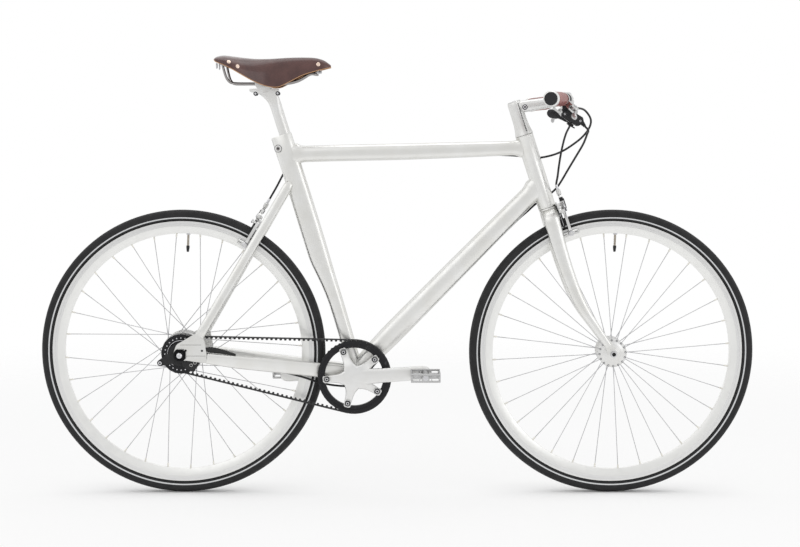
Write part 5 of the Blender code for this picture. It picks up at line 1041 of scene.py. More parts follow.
def crank(label, run, side):
    """Forged arm on the spindle, for the right side with its five-arm spider."""
    shape = [(-21, 4, 60, 2), (-20, 9.5, 60, 5), (-16.5, 14.5, 60, 7), (-9, 19, 60, 8),
             (0, 21, 60, 8.3), (12, 21.2, 60.2, 8.3), (26, 19.8, 60.5, 7.9),
             (44, 18, 61, 7.4), (70, 17.2, 61.8, 7), (120, 16.6, 63.6, 6.7), (162, 16.4, 65, 6.5),
             (171, 15.4, 65, 6.4), (178, 12.2, 65, 6), (182.4, 7.4, 65, 5), (184, 3, 65, 2.4)]
    arm = placer(BB, run, LEFT * side)
    mesh = loft([oval(arm(along, place), square_to(CRANK_LEAN), LEFT, high, thick, 3, 44)
                 for along, high, place, thick in shape])
    boss = [(43.8, 12), (44.2, 19.4), (55, 20)]
    if side < 0:
        boss = [(43.8, 11), (44.2, 19), (52, 19.4), (55, 20)]
    lathe(boss, BB, LEFT * side, 40, mesh)
    if side < 0:
        lathe([(-57, 12), (55, 12)], BB, -LEFT, 32, mesh)
        rows = [(4, 23, 60, 8.1), (14, 22, 60, 8.1), (21, 19, 59.8, 7.9), (27, 15.4, 59.4, 7.5),
                (34, 12, 58.6, 6.7), (42, 10, 57, 5.1), (50, 9, 55.5, 3.7),
                (58, 8.6, 54.6, 2.8), (65, 8.4, 54.5, 2.6), (71, 8.2, 54.5, 2.6),
                (73.4, 7.2, 54.5, 2.4), (74.4, 5.4, 54.5, 2)]
        for angle in SPIDER:
            spoke = placer(BB, ray(angle), -LEFT)
            loft([oval(spoke(r, place), square_to(angle), LEFT, wide, thick, 4.5, 32)
                  for r, wide, place, thick in rows], mesh=mesh)
    lathe([(0, 6), (98, 6)], arm(CRANK_LENGTH, 62), LEFT * side, 24, mesh)
    add("crank_body_" + label, mesh, FORGED, "cranks", 40, "crank_" + label)


def drive_details():
    """Sprocket screws, snap ring and ports."""
    for angle in SPIDER:
        point = placer(BB, ray(angle), -LEFT)
        spot = point(SCREW_RADIUS, SCREW_PLANE)
        slab(point(SCREW_RADIUS + 0.3, SCREW_PLANE - 0.5), (8.6, 8.4, 1.1),
             (ray(angle), square_to(angle), -LEFT), "cranks", POLISHED, "sprocket_screw_seat",
             bevel=0.5)
        turned([(0, 5.6), (0.9, 5.6), (1.2, 5.2)], spot, -LEFT, 24,
               "cranks", BLACK_METAL, "sprocket_screw_ring")
        socket_screw(spot, -LEFT, 4.2, 2.0, "cranks", STEEL, "sprocket_screw")
    near = REAR_AXLE - LEFT * 53.5 * MM
    strand([about(near, 32.2, a) for a in sweep(-60, 5, 60)], 0.9, 8,
           "sprocket", STEEL, "snap_ring")
    for a in turns(24):
        turned([(-0.6, 1.5), (0.15, 1.5), (0.15, 1.2)], about(near, 38.5, a), -LEFT, 10,
               "sprocket", STEEL, "sprocket_port")


def pedal(label, run, side):
    """Barrel on the axle, two end plates with a long slot each, and toothed cage plates."""
    body = "pedal_" + label[0]
    centre = placer(BB, run, LEFT * side)(CRANK_LENGTH, PEDAL_MIDDLE)
    point = placer(centre, *BOX_AXES)
    mesh = bmesh.new()

    def box(ahead, up, aside, half, bevel=0.2):
        block(point(ahead, up, aside), half, BOX_AXES, mesh, bevel)

    for end in (-1, 1):
        for up in (-1, 1):
            box(0, up * 8.2, end * END_PLATE, (33.5, 2.4, 2.8), 0.5)
        for ahead, half in ((-32.2, 2.4), (32.2, 2.4), (-14, 0.9), (14, 0.9)):
            box(ahead, 0, end * END_PLATE, (half, 5.2, 2.4))
        box(0, 0, end * END_PLATE, (8.5, 7.8, 2.7), 0.5)
        for up in (-1, 1):
            box(end * CAGE_PLATE, up * 7.2, 0, (1.6, 2.6, 40), 0.3)
            for k in range(9):
                box(end * CAGE_PLATE, up * 9.9, (k - 4) * 9, (1.3, 1.1, 2.3), 0.3)
        for aside in (-2, -1, 0, 1, 2):
            box(end * CAGE_PLATE, 0, aside * 19.6, (1.5, 5.8, 1.6))
        for aside in (-22, 22):
            box(end * 20, 0, aside, (12.5, 4.2, 1.5), 0.4)
    barrel = [(12, 7.8), (30, 8.4), (40, 9.3), (43.2, 8.6), (43.4, 6.4)]
    lathe([(-a, r) for a, r in reversed(barrel)] + barrel, centre, LEFT, 32, mesh)
    add("pedal_cage_" + label, mesh, PEDAL_METAL, body, 35, "pedal_" + label)
    out = LEFT * side
    turned([(-1, 5.6), (0.3, 5.6), (0.7, 4.8), (0.7, 3)], centre + out * 43.3 * MM, out, 28,
           body, STEEL, "pedal_cap_" + label)
    turned([(-3, 7.2), (-0.2, 7.2), (0, 6.9)], centre - out * 43.4 * MM, -out, 28,
           body, BLACK_PLASTIC, "pedal_seal_" + label)


def rear_details():
    """Dropout's lines drawn as painted shade, its screws, the axle's cap plate, bracket relief and cable boot."""
    for label, side in SIDES:
        out = LEFT * side
        axes = (FORWARD, UP, out)
        # Painted shade: thin near-black strips along the dropout's lines.
        for x, z, half in ((-489, 366.3, 25), (-477, 339.9, 23)):
            slab(mm(x, side * 74.5, z), (half, 0.35, 0.12), axes, "frame", SHADOW, "dropout_line")
        for x, z in ((-501, 353), (-462.6, 352.4)):
            socket_screw(mm(x, side * 74.4, z), out, 2.6, 0.9, "frame", BLACK_METAL,
                         "dropout_screw")
        plate = block(REAR_AXLE + out * 76.6 * MM, (13.8, 13.8, 1.8), axes, bmesh.new(), 0.42)
        add("axle_plate_" + label, plate, BLACK_METAL, "frame", 30, "axle_washer_" + label)
    for x, z in ((-489.5, 317), (-480.5, 322.5)):
        strand([mm(x + 3.6 * cos(a), -66.9, z + 3.0 * sin(a)) for a in sweep(0, 20, 19)],
               0.6, 6, "frame", PALE_RING, "bracket_relief")
    path = through([mm(-457.5, -66.5, 355.3), mm(-440, -65.5, 353.2), mm(-420, -63.5, 349.9),
                    mm(-400, -61.5, 344.8), mm(-384, -59.5, 340.8)], 5)
    radii = [2.4 + 4.1 * min(1, k / 3, (len(path) - 1 - k) / 13)
             + (0.5 if k % 2 and k < 14 else 0) for k in range(len(path))]
    strand(path, radii, 20, "frame", PAD_RUBBER, "gear_cable_boot")
    socket_screw(REAR_AXLE + mm(-49, -64, -20.5), -LEFT, 4.4, 1.2, "gear_pulley", STEEL,
                 "gear_anchor_screw")


def front_details():
    """Washers on the fork's tips, and painted shade in the sockets of the axle."""
    for _, side in SIDES:
        out = LEFT * side
        turned([(0, 13.0), (0.9, 13.0), (1.3, 12.4), (1.3, 7.6)], FRONT_AXLE + out * 55.9 * MM,
               out, 48, "steering", FORGED, "fork_tip_washer")
        # Painted shade: near-black discs in the axle's sockets.
        turned([(0, 4.7), (0.5, 4.7), (0.6, 4.3)], FRONT_AXLE + out * 64.2 * MM, out, 28,
               "steering", SHADOW, "front_axle_socket")


def sprocket_guide():
    """Smooth ring on the outer face of the front sprocket."""
    rows = [(-51.4, 79), (-51.4, 86.3), (-52.4, 86.3), (-52.8, 85.8), (-52.8, 79.5),
            (-52.5, 79)]
    add("sprocket_guide", hoop(rows, BB, 128), BLACK_METAL, "cranks", 30)


def seatpost():
    """Straight post with a cradle for the saddle clamp and two cross nuts below it."""
    rows = [(470, 12.6), (471, 13.6), (648, 13.6), (656, 13.2), (664, 12.2), (668, 11)]
    mesh = loft(rounds(seat, SEAT_FORWARD, rows, POST_LEAD))
    arc = [(20.1 * cos(a), 20.1 * sin(a)) for a in sweep(-35, -110 / 14, 15)]
    outline = [(33.5, -12.4), *arc, (-34, -12.4), (-35, -14), (-34, -18), (-31, -19.6),
               (-24, -20.4), (-15.5, -22.8), (-9, -26.2), (0, -28), (28, -28), (33, -24.5),
               (33.4, -21.5), (35, -17.5), (35, -14)]
    loft([[SEAT_HEAD + mm(4 + (x - 4) * shrink, depth, -20 + (z + 20) * shrink)
           for x, z in outline]
          for depth, shrink in ((-12.9, 0.955), (-12.2, 0.985), (-11, 1), (11, 1),
                                (12.2, 0.985), (12.9, 0.955))], mesh=mesh)
    neck = [(-80, 22.2, 50.6, 13.6, 2), (-70, 19, 47.5, 13.6, 2), (-62, 16.5, 45, 13.6, 2.1),
            (-54, 13.9, 42.4, 13.5, 2.3), (-47, 10.8, 40.4, 13.3, 2.6),
            (-41, 6.8, 38.3, 13.1, 3.2), (-36, 2.4, 36.6, 13, 4.2), (-31, -3, 34.6, 12.8, 6),
            (-27, -8, 33, 12.6, 8), (-23.4, -14, 32, 12.4, 10), (-21, -13, 31, 11.5, 10)]
    loft([oval(SEAT_HEAD + mm((low + high) / 2, 0, z), FORWARD, LEFT, (high - low) / 2, wide,
               power, 64) for z, low, high, wide, power in neck], mesh=mesh)
    add("seatpost_body", mesh, FORGED, "post", 35, "seatpost")
    for x, z in ((-20, -23.4), (32.6, -22.6)):
        for _, side in SIDES:
            face = SEAT_HEAD + mm(x, side * 12.6, z)
            turned([(-6, 4.9), (0.3, 4.9), (0.9, 4.4)], face, LEFT * side, 28,
                   "post", BLACK_METAL, "seatpost_nut")
            turned([(0.8, 2.6), (1.2, 2.6), (1.3, 2.2)], face, LEFT * side, 20,
                   "post", STEEL, "seatpost_nut_end")
        turned([(-5, 3.1), (9, 3.1), (10, 2.6)], SEAT_HEAD + mm(x, 0, z), UP, 18,
               "post", STEEL, "seatpost_screw")


def seat_details():
    """Groove of the seat tube's clamp drawn as painted shade, and its dark screw, on both sides."""
    for _, side in SIDES:
        groove = placer(seat(*SEAT_CLAMP, side * 16.3), SEAT_UP, SEAT_FORWARD)
        # Painted shade: a thin near-black ring in the clamp's groove.
        strand([groove(8.8 * cos(a), 8.8 * sin(a)) for a in sweep(0, 10, 37)], 0.35, 6,
               "frame", SHADOW, "clamp_groove")
        turned([(0, 8.6), (1.1, 8.6), (1.7, 8.0), (1.7, 5)], seat(*SEAT_CLAMP, side * 14.6),
               LEFT * side, 36, "frame", FORGED, "clamp_seat")
        socket_screw(seat(*SEAT_CLAMP, side * 16.0), LEFT * side, 4.6, 1.8, "frame", RAIL_METAL,
                     "clamp_screw")


drive_details()
for (label, side), run in zip(SIDES, (ray(CRANK_LEAN), -ray(CRANK_LEAN))):
    crank(label, run, side)
    pedal(label, run, side)
rear_details()
front_details()
sprocket_guide()
seatpost()
seat_details()


# Bar, grips and stem

BAR_CENTRE = steer(231, 117.7)
BAR_SWEEP = radians(16.2)
BEND_START, BEND_END, BAR_DROP = 60, 110, 4
STEM_SCREW = (245, 20.8)


def bar_point(left):
    """Centre of the bar at a distance to the left of the wheels' plane."""
    out = abs(left)
    bent = max(0, min(out, BEND_END) - BEND_START) ** 2 / 2 / (BEND_END - BEND_START)
    back = tan(BAR_SWEEP) * (bent + max(0, out - BEND_END))
    drop = BAR_DROP * max(0, out - BEND_START) / 230
    return BAR_CENTRE + mm(-back, left, -drop)


def bar_run(left):
    step = 1 if left > 0 else -1
    return (bar_point(left + step) - bar_point(left)).normalized()


def handlebar():
    """Swept bar, a little thicker where the stem holds it."""
    half = [(0, 12.7), (26, 12.7), (29, 12.7), (34, 12.3), (40, 11.5), (46, 11.1)]
    half += [(y, 11.1) for y in (60, 72, 85, 98, 110, 170, 240, 288)]
    places = [(-y, r) for y, r in reversed(half[1:])] + half
    mesh = pipe([bar_point(y) for y, _ in places], [r for _, r in places], 36)
    add("handlebar_round", mesh, POLISHED, "steering", 40, "handlebar")


def grip(label, side):
    """Leather sleeve with rolled ends and a stitched seam, a pale ring and an end plug."""
    start, end = bar_point(side * 172), bar_point(side * 290)
    run = (end - start).normalized()
    long = (end - start).length / MM
    rows = [(0.3, 11.5), (0, 14.2), (0.5, 15.4), (1.8, 16.0), (3.6, 15.8), (5.0, 15.5),
            (6.4, 15.9), (9, 16.15)]
    rows += [(9 + (long - 28) * k / 16, 16.15 + 0.04 * (k % 2)) for k in range(1, 17)]
    rows += [(long + a, r) for a, r in ((-16, 15.9), (-14.6, 15.5), (-13.2, 15.8),
                                        (-11.4, 16.0), (-10.4, 15.2), (-10.2, 11.5))]
    add("grip_sleeve_" + label, lathe(rows, start, run, 48), GRIP_LEATHER, "steering", 50,
        "grip_" + label)
    ring = [(-10.1, 15.6), (-9.9, 17.6), (-9.1, 18.4), (-3.2, 18.4), (-2.2, 17.9),
            (-0.6, 16.8), (0.6, 16.2), (0.9, 15.2), (0.2, 14.9)]
    plug = [(-1, 14.7), (0.8, 14.7), (1.4, 13.9), (1.5, 5)]
    for profile, sides, material, name in ((ring, 48, PALE_RING, "grip_ring_"),
                                           (plug, 40, BLACK_PLASTIC, "grip_plug_")):
        turned([(long + a, r) for a, r in profile], start, run, sides, "steering", material,
               name + label)
    below = (-UP - run * (-UP).dot(run)).normalized()
    beside = run.cross(below)
    out = below * 0.6 + beside * 0.8
    point = placer(start, run, out)
    socket_screw(point(long - 6, 17.6), out, 2.2, 1.4, "steering", STEEL, "grip_screw_" + label)
    for k in range(22):
        place = 11 + (long - 32) * k / 21
        for sway in (-0.13, 0.13):
            out = (below + beside * sway).normalized()
            far = (below - beside * sway).normalized()
            point = placer(start + run * place * MM, run, out, far)
            strand([point(0, 16.05, 0), point(0.9, 16.5, 0), point(2.4, 0, 16.5),
                    point(3.2, 0, 16.05)], 0.32, 6, "steering", THREAD, "grip_stitch_" + label)


def stem():
    """Split column on the steerer, neck, bar clamp and the boss of the side screw."""
    column = [(181.8, 20.6), (182.4, 22.0), (185, 21.6), (190, 20.2), (198, 18.7), (208, 17.6),
              (220, 17), (255, 17), (261, 16.5), (263.4, 15.6), (264, 14.8)]
    mesh = loft(rounds(steer, STEER_FORWARD, column, 0.5, 56))
    start = mm(292.5, 0, 928.8)
    run = (BAR_CENTRE - start).normalized()
    neck = [(0, 13.8, 12.8), (14, 14.2, 13.2), (26, 14.0, 13.0), (50, 13.4, 13.2),
            (75, 12.9, 14.6), (92, 12.6, 17.2), (100, 12.4, 18.4)]
    loft([oval(start + run * d * MM, LEFT, LEFT.cross(run) * -1, wide, high, 2.7, 40)
          for d, high, wide in neck], mesh=mesh)
    lathe([(-21, 17), (-20.6, 18.4), (-19.6, 19), (19.6, 19), (20.6, 18.4), (21, 17)],
          BAR_CENTRE, LEFT, 48, mesh)
    lathe([(-16.6, 6.6), (-16, 7.4), (16, 7.4), (16.6, 6.6)], steer(*STEM_SCREW), LEFT, 28, mesh)
    add("stem_body", mesh, FORGED, "steering", 40, "stem")


def stem_details():
    """The column's serrated slit drawn as painted shade, its screws and the cap on the steerer; painted shade also
    sits in the bar clamp's grooves and the head tube's end gaps.
    """
    column = ((182, 22.2), (190, 20.3), (208, 17.7), (220, 17.1), (262, 17.1))
    # Painted shade: near-black teeth along the column's slit on each side.
    for _, side in SIDES:
        for up in [190 + 4.2 * k for k in range(17)]:
            radius = between(column, up)[1]
            for half, shift, long in ((0.6, 0, 2.15), (1.3, 0.7, 0.9)):
                ahead = 6.7 + shift
                aside = side * sqrt(radius ** 2 - ahead ** 2)
                lean = (STEER_FORWARD * ahead + LEFT * aside).normalized()
                slab(steer(up + shift, ahead + 0.5, aside), (half, long, 0.25),
                     (lean.cross(STEER_UP), STEER_UP, lean), "steering", SHADOW, "stem_slit")
    for _, side in SIDES:
        out = LEFT * side
        # Painted shade: a near-black ring round each side screw.
        turned([(0, 6.6), (1.0, 6.6), (1.2, 6.2)], steer(*STEM_SCREW, side * 16.6), out, 28,
               "steering", SHADOW, "stem_screw_seat")
        socket_screw(steer(*STEM_SCREW, side * 17.4), out, 4.6, 2.0, "steering", STEEL,
                     "stem_screw")
    turned([(0, 15.2), (0.8, 15.2), (1.6, 14.2), (2.0, 11.8), (2.0, 4)], steer(264, 0.5),
           STEER_UP, 40, "steering", POLISHED, "stem_cap")
    socket_screw(steer(265.8, 0.5), STEER_UP, 3.6, 1.2, "steering", STEEL, "stem_cap_screw")
    for up, forward in ((221, 134.2), (241.4, 131.0)):
        out = (steer(up, forward) - BAR_CENTRE).normalized()
        for aside in (-13, 13):
            socket_screw(placer(BAR_CENTRE, out, LEFT)(18.4, aside), out, 3.2, 2.2,
                         "steering", STEEL, "bar_clamp_screw")
    # Painted shade in the two grooves of the bar clamp.
    for out in (ray(radians(62)), ray(radians(-98))):
        slab(BAR_CENTRE + out * 18.9 * MM, (0.5, 20.6, 0.3), (out.cross(LEFT), LEFT, out),
             "steering", SHADOW, "bar_clamp_groove")
    # Painted shade: near-black rings in the gaps at both ends of the head tube.
    for up in (-0.15, 181.6):
        turned([(-0.6, 19.4), (-0.5, 20.2), (0.5, 20.2), (0.6, 19.4)], steer(up), STEER_UP, 48,
               "frame", SHADOW, "headset_seal")


handlebar()
for label, side in SIDES:
    grip(label, side)
stem()
stem_details()


# Cables, brakes and levers

BRAKE_LEVER_PLACE = 150
LEVER_END, LEVER_STEP = (-30.3, 30), (-44.3, 30)
LONG_PLANE, SHORT_PLANE = 26.25, 33.45
PAD_PLACE = -57.5
SHIFTER = bar_point(-126)
SHIFTER_BACK = ray(radians(147))
SHIFTER_ADJUSTER_RUN = Vector((10, 0, -12)).normalized()
shifter = placer(SHIFTER + mm(14, 0, -54.5), SHIFTER_BACK, -LEFT, (-LEFT).cross(SHIFTER_BACK))


def lever_frame(side):
    """Points and axes at a brake lever: out along the bar, towards the fingers, across."""
    out = bar_run(side * BRAKE_LEVER_PLACE)
    ahead = ray(radians(-40))
    ahead = (ahead - out * ahead.dot(out)).normalized()
    axes = (out, ahead, out.cross(ahead))
    return placer(bar_point(side * BRAKE_LEVER_PLACE), *axes), axes


def brake_frame(which):
    """Points and axes on the brake's bolt: across, out from the wheel and off the mount."""
    if which == "front":
        axes = (LEFT, STEER_UP, STEER_FORWARD)
        return placer(steer(-17, 0.6), *axes), axes
    axes = (-LEFT, STAY_RUN, (-LEFT).cross(STAY_RUN))
    return placer(mm(-312.08, 0, 636.37), *axes), axes


def housing(name, path, bodies, start=None, end=None):
    """Cable housing from end to end, bent between two bodies where it crosses a joint."""
    piece = add(name + "_tube", pipe(path, 2.5, 14), HOUSING_PLASTIC,
                None if start else bodies[0])
    if start:
        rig.blend(piece, *bodies, start, end)
    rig.replaces(piece, name)


def ferrule(spot, run, body, label):
    turned([(-1, 2.2), (0, 3.1), (0.4, 3.3), (11, 3.2), (11.6, 2.9), (12.4, 2.7)], spot, run,
           20, body, STEEL, label)


TOP_TUBE_CLIPS = [(150, 18.6, 815), (20, 18.8, 812), (-110, 18.8, 808)]
DOWN_TUBE_CLIPS = [(185.5, 14, 554), (86.3, 15, 453.7), (1.5, 15, 367.5)]
FRONT_ROUTE = [(424, 78, 915), (421, 52, 893), (405, 24, 864), (394, 2, 830), (386, -18, 795),
               (381, -31, 765)]
REAR_ROUTE = [(438, -80, 920), (455, -58, 900), (455, -36, 880), (441, -16, 858),
              (418, 2, 838), (393, 15, 822), (365, 23, 812), (335, 26, 807.5), (305, 24, 811),
              (272, 19.5, 813.5), (230, 18.4, 815), *TOP_TUBE_CLIPS,
              (-215, 19.5, 802.5), (-246, 20.5, 797.5), (-264, 22.5, 785), (-277, 26, 764),
              (-291, 31, 738)]
GEAR_ROUTE = [(441, -108, 862), (434, -92, 840), (418, -68, 808), (404, -34, 778),
              (392, -6, 752), (381, 10, 734), (364, 26, 717), (346, 26, 705), (330, 20.5, 694),
              (313, 15, 679), (282.5, 13, 652), *DOWN_TUBE_CLIPS, (-45, 12, 320),
              (-75, 5, 284), (-88, -1, 264.5), (-110, -8, 258.5), (-150, -14, 261),
              (-190, -22, 270), (-230, -26, 284), (-300, -35, 303), (-370, -44.5, 318),
              (-430, -55, 336), (-455, -60, 345)]


def brake_housing(which, label, side, route, before_end, *ways):
    """Housing from a brake lever to a brake, with a ferrule at each end."""
    lever, (out, _, _) = lever_frame(side)
    brake, (_, up, _) = brake_frame(which)
    start, end = lever(*LEVER_END), brake(-37, 52.3, SHORT_PLANE)
    path = through([start, lever(*LEVER_STEP), *(mm(*p) for p in route),
                    end + up * before_end * MM, end])
    housing(which + "_brake_housing", path, *ways)
    ferrule(start, -out, "steering", "lever_ferrule_" + label)
    ferrule(end, up, which + "_short", which + "_brake_ferrule")


def cables():
    """The three housings."""
    brake_housing("front", "left", 1, FRONT_ROUTE, 12, ["steering"])
    brake_housing("rear", "right", -1, REAR_ROUTE, 10, ["frame", "steering"],
                  (0.28, 0.02, 0.805), (0.42, -0.02, 0.87))
    start = placer(SHIFTER + mm(46, 0, -62), SHIFTER_ADJUSTER_RUN)
    path = through([start(0.4), start(12.4), *(mm(*p) for p in GEAR_ROUTE)])
    housing("gear_housing", path, ["frame", "steering"], (0.33, 0.02, 0.68),
            (0.42, -0.07, 0.81))


def brake_details(which):
    """Pads, screws, springs, cam, adjuster and inner cable of one brake."""
    spot, axes = brake_frame(which)
    u, v, w = axes
    long_arm, short_arm = which + "_long", which + "_short"
    for side, off, body in ((1, LONG_PLANE, long_arm), (-1, SHORT_PLANE, short_arm)):
        slab(spot(side * 14.4, PAD_PLACE, off), (2.2, 4.4, 19.2), axes,
             body, PAD_RUBBER, which + "_brake_pad", bevel=0.4)
        slab(spot(side * 18.6, PAD_PLACE, off), (2.5, 5.4, 20.4), axes,
             body, POLISHED, which + "_pad_holder", bevel=0.5)
        # Painted shade in the slots of the pad holder.
        for place in (-14, 14):
            slab(spot(side * 21.1, PAD_PLACE, off + place), (0.1, 0.6, 4.2), axes,
                 body, SHADOW, which + "_pad_slot")
        turned([(0, 6), (1.6, 6), (1.8, 5.2), (3.2, 5.2), (3.4, 4.6)],
               spot(side * 31, PAD_PLACE, off), u * side, 20, body, STEEL, which + "_pad_nut")
        socket_screw(spot(side * 34.2, PAD_PLACE, off), u * side, 4.2, 2.2, body, STEEL,
                     which + "_pad_screw")
        spring = [(3, 9, 21.4), (14, 11, 21.4), (23, 3, 21.6), (26.5, -16, 22), (25, -38, 22.2)]
        strand(through([spot(side * a, b, c) for a, b, c in spring], 5), 0.8, 8,
               body, STEEL, which + "_brake_spring")
        turned([(-2.2, 2.6), (2.2, 2.6)], spot(side * 25, -38, 22.2), v, 12,
               body, BLACK_PLASTIC, which + "_spring_seat")
    mount = "steering" if which == "front" else "frame"
    socket_screw(spot(0, 0, 40.6), w, 5.0, 2.4, mount, STEEL, which + "_brake_centre_screw")
    socket_screw(spot(-20, 15.5, 38.6), w, 5.4, 1.8, mount, STEEL, which + "_brake_pivot_cap")
    turned([(0, 6.2), (1.0, 6.2), (1.2, 5.8)], spot(0, 0, 29.9), w, 24,
           long_arm, BLACK_METAL, which + "_brake_washer")
    turned([(0, 6.4), (1.6, 6.4), (1.8, 6)], spot(-42, 3, 33.2), w, 20,
           long_arm, STEEL, which + "_anchor_washer")
    socket_screw(spot(-42, 3, 34.8), w, 4.4, 2.6, long_arm, BLACK_METAL, which + "_anchor_screw")
    turned([(-4.5, 4.4), (-4.2, 4.9), (4.2, 4.9), (4.5, 4.4)], spot(-47.5, 29, SHORT_PLANE), w, 24,
           short_arm, BLACK_METAL, which + "_cam_drum")
    slab(spot(-49.5, 17.5, 38.8), (2.6, 12.5, 1.1), axes,
         short_arm, BLACK_PLASTIC, which + "_cam_lever", bevel=0.6)
    adjuster = spot(-37, 26, SHORT_PLANE)
    turned([(12.6, 4.3), (13.8, 4.3)], adjuster, v, 20,
           short_arm, PAD_RUBBER, which + "_adjuster_seal")
    turned([(14.2, 4.6), *ribbed(14.6, 25.6, 5.5, 0.5, 8), (26, 4.6)], adjuster, v, 24,
           short_arm, POLISHED, which + "_adjuster")
    cable = [(-37, 28, SHORT_PLANE), (-38, 18, 34), (-41, 8, 35.6), (-42, 1, 35.9),
             (-42.5, -8, 35.2), (-44, -17, 34)]
    strand(through([spot(*p) for p in cable], 5), 0.75, 8,
           long_arm, STEEL, which + "_brake_cable")
    turned([(0, 1.1), (0.6, 1.4), (7, 1.4), (7.6, 1.0)], spot(-43.6, -14, 34.2),
           spot(-44, -17, 34) - spot(-43.4, -13, 34.3), 10,
           long_arm, STEEL, which + "_cable_end")


def lever_blade(label, side):
    """Two-finger blade, with a hub between the ears of the perch."""
    point, (u, v, w) = lever_frame(side)
    body = "lever_" + label[0]
    mesh = lathe([(-3.1, 7.4), (-3.1, 8.4), (3.1, 8.4), (3.1, 7.4)], point(6, 34), w, 32)
    shape = [(8, 36, 3.4, 2.9), (14, 39, 3.8, 3), (22, 43, 3.4, 4), (31, 46.5, 3.2, 5.6),
             (44, 49, 3.1, 7), (60, 50.5, 3, 7.6), (78, 52, 3, 7.5), (93, 55, 3, 7.1),
             (103, 58.8, 2.9, 6.5), (110, 63, 2.8, 5.4), (113.2, 66, 2.3, 4),
             (114.4, 67.4, 1.3, 2)]
    loft([oval(point(out, ahead), w, v, wide, thick, 2.6, 28)
          for out, ahead, thick, wide in through([Vector(row) for row in shape], 3)], mesh=mesh)
    add("lever_blade_" + label, mesh, LEVER_METAL, body, 45, "brake_lever_" + label)
    # Painted shade in the blade's two slots.
    for place, towards in ((44, 52.05), (78, 55.05)):
        slab(point(place, towards), (7, 1.6, 0.2), (u, w, v),
             body, SHADOW, "lever_slot_" + label)


def release_lever():
    """Short paddle of the release, under the main lever on the same pin."""
    corners = [Vector(p) for p in ((7, -5), (6, 6), (-1, 8), (-7, 13), (-11, 14.5), (-13, 11),
                                   (-11, 5), (-5, -5))]
    outline = through([corners[-1], *corners, *corners[:2]], 4)[4:-8]
    mesh = loft([[shifter(p.x * shrink, p.y * shrink, depth) for p in outline]
                 for depth, shrink in ((4.7, 0.94), (5.1, 1), (6.9, 1), (7.3, 0.94))])
    add("release_paddle", mesh, BLACK_PLASTIC, "shifter_release", 40, "shifter_release_lever")


def lever_details(label, side):
    """Adjuster, pin and clamp screws of one brake lever."""
    spot, (u, _, w) = lever_frame(side)
    turned([(0, 3.8), *ribbed(0.4, 9.6, 5.2, 0.5, 7), (10, 3.8)], spot(-15.5, 30), -u, 22,
           "steering", POLISHED, "lever_adjuster_" + label)
    turned([(0, 5.8), (2.6, 5.8), (3, 5.2)], spot(-26.5, 30), -u, 22,
           "steering", BLACK_METAL, "lever_lock_ring_" + label)
    for across in (-1, 1):
        socket_screw(spot(6, 34, across * 6.9), w * across, 3.6, 1.5, "steering", STEEL,
                     "lever_pin_" + label)
    socket_screw(spot(0, 14, -7.0), -w, 3.0, 1.6, "steering", BLACK_METAL,
                 "lever_clamp_screw_" + label)


def shifter_details():
    """Thumb pad of the main lever, and the housing's screws, grooves drawn as painted shade, and adjuster."""
    pad = ((12, 2.2, 3.6, 3.0), (22, 3.0, 4.2, 3.2), (30, 4.0, 5.0, 3.6), (36, 6.6, 6.6, 4.6),
           (42, 9.0, 8.6, 5.6), (48, 10.2, 9.4, 6.4), (54, 9.2, 9.0, 6.6), (58, 6.8, 7.0, 6.6),
           (60.5, 3.2, 3.6, 6.4))
    loft([[shifter(along, wide * cos(a), low + deep * sin(a)) for a in turns(24)]
          for along, deep, wide, low in pad],
         mesh=stock("shifter_main", BLACK_PLASTIC, "shifter_thumb_pad"))
    for x, z in ((-2, -34), (34, -50)):
        socket_screw(SHIFTER + mm(x, -14.8, z), -LEFT, 2.4, 0.9, "steering", STEEL,
                     "shifter_screw")
    lean = ray(radians(-28))
    # Painted shade in the housing's grooves.
    for k in range(4):
        slab(SHIFTER + mm(9 + 5.2 * k, -15.1, -35.5 - 3.1 * k), (0.5, 4.6, 0.15),
             (lean, lean.cross(LEFT), -LEFT), "steering", SHADOW, "shifter_groove")
    turned([(0, 4.6), *ribbed(0.4, 7.6, 5.0, 0.45, 6), (8, 4.2)], SHIFTER + mm(38, 0, -52.4),
           SHIFTER_ADJUSTER_RUN, 20, "steering", BLACK_PLASTIC, "shifter_adjuster")


def housing_clips():
    """Small clips that hold the housings to the top tube and the down tube."""
    for clips, run in ((TOP_TUBE_CLIPS, FORWARD), (DOWN_TUBE_CLIPS, FORWARD + UP)):
        for spot in [mm(*p) for p in clips]:
            turned([(-4, 3.2), (-3.6, 3.5), (3.6, 3.5), (4, 3.2)], spot, run, 20,
                   "frame", BLACK_PLASTIC, "housing_clip")
            if clips is TOP_TUBE_CLIPS:
                slab(spot + mm(0, -2.6, 1.5), (3.2, 1.6, 2.8), (FORWARD, LEFT, UP),
                     "frame", BLACK_PLASTIC, "clip_foot")


cables()
brake_details("front")
brake_details("rear")
for label, side in SIDES:
    lever_blade(label, side)
    lever_details(label, side)
release_lever()
shifter_details()
housing_clips()
for (body, material, label), mesh in STOCK.items():
    add(label, mesh, material, body, 35)


# Camera, light and floor

CAMERA_PLACE = (0.0066, -3.98, 0.8441)
CAMERA_DOWN = radians(4.508)
CAMERA_LENS = 74.7
FLOOR_REACH = 4.0
CONTACT_REACH = 0.14
GLOW_SHARE = 0.62
# Name, place, what it points at, size and power.
LAMPS = [("key", (-2.2, -3.0, 2.8), (0, 0, 0.5), (3.8, 2.6), 14),
         ("fill", (2.8, -2.4, 1.8), (0, 0, 0.5), (1.6, 2.2), 10),
         ("top", (0, 0.4, 3.4), (0, 0, 0.4), (3.0, 1.6), 14)]


def area_lamp(name, spot, aim, size, power):
    data = bpy.data.lights.new(name, "AREA")
    data.shape = "RECTANGLE"
    data.size, data.size_y = size
    data.energy = power
    lamp = show(name, data)
    lamp.location = spot
    lamp.rotation_mode = "QUATERNION"
    lamp.rotation_quaternion = (Vector(aim) - Vector(spot)).to_track_quat("-Z", "Y")


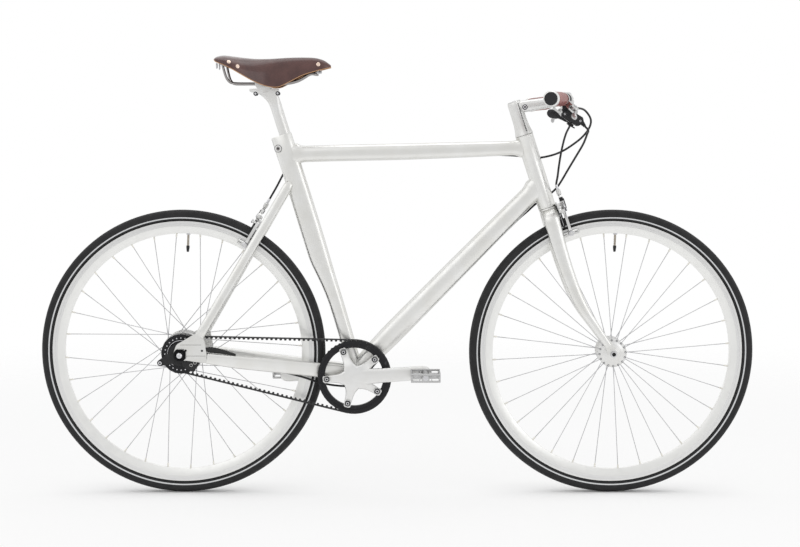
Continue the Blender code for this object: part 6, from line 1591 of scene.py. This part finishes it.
def world():
    """White room; metal sees it a little darker on the camera's side."""
    made = bpy.data.worlds.new("room")
    made.use_nodes = True
    shade = made.node_tree.nodes["Background"].inputs
    shade["Color"].default_value = (1, 1, 1, 1)
    way = node(made, "SeparateXYZ", {0: node(made, "TexCoord")["Generated"]})["Y"]
    paths = node(made, "LightPath")
    mirrored_ray = sums(made, "MAXIMUM", paths["Is Glossy Ray"], paths["Is Transmission Ray"])
    level = node(made, "Mix", {0: mirrored_ray, 2: 0.80,
                               3: spread(made, way, -0.9, 0.3, 0.78, 1.0)})[0]
    feed(made, shade["Strength"], node(made, "Mix", {0: paths["Is Camera Ray"], 2: level,
                                                     3: 1.0})[0])
    bpy.context.scene.world = made


def floor():
    """White round floor that fades out, so that the room shows past it, and glows less where the bike is near: painted
    contact shadow.
    """
    mesh = bmesh.new()
    bmesh.ops.create_grid(mesh, x_segments=24, y_segments=24, size=FLOOR_REACH)
    piece = solid("floor", mesh)
    made = bpy.data.materials.new("floor_white")
    made.use_nodes = True
    made.node_tree.nodes.clear()
    paths = node(made, "LightPath")
    seen = sums(made, "MAXIMUM", paths["Is Camera Ray"], paths["Is Glossy Ray"])
    seen = sums(made, "MAXIMUM", seen, paths["Is Transmission Ray"])
    # Painted shadow: where the bike is close, the floor's glow drops and it darkens under the tyres.
    near = node(made, "AmbientOcclusion", {"Distance": CONTACT_REACH}, samples=12)["AO"]
    glow_share = product(made, seen, spread(made, near, 0.62, 0.97, 0.0, GLOW_SHARE))
    plain = node(made, "BsdfDiffuse", {"Color": (0.97, 0.97, 0.97, 1)})[0]
    glow = node(made, "Emission", {"Color": (1, 1, 1, 1)})[0]
    lit = node(made, "MixShader", {0: glow_share, 1: plain, 2: glow})[0]
    far = node(made, "VectorMath", {0: node(made, "TexCoord")["Object"]},
               operation="LENGTH")["Value"]
    fade = spread(made, far, 1.3, 3.4, interpolation_type="SMOOTHSTEP")
    clear = node(made, "BsdfTransparent")[0]
    node(made, "OutputMaterial",
         {"Surface": node(made, "MixShader", {0: fade, 1: lit, 2: clear})[0]})
    dress(piece, made)
    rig.stage(piece)


def camera():
    """Camera at the photograph's place: level with the saddle, looking down a little."""
    data = bpy.data.cameras.new("camera")
    data.sensor_width = 36.0
    data.lens = CAMERA_LENS
    data.clip_start, data.clip_end = 0.05, 100
    made = show("camera", data)
    made.location = CAMERA_PLACE
    made.rotation_euler = (radians(90) - CAMERA_DOWN, 0, 0)
    bpy.context.scene.camera = made


for lamp in LAMPS:
    area_lamp(*lamp)
world()
floor()
camera()
bpy.context.scene.view_settings.view_transform = "Standard"

with open("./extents.json", "w") as sizes:
    json.dump({"cad": [list(c) for c in cad_box], "visual": [list(c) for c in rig.bounds()]},
              sizes)
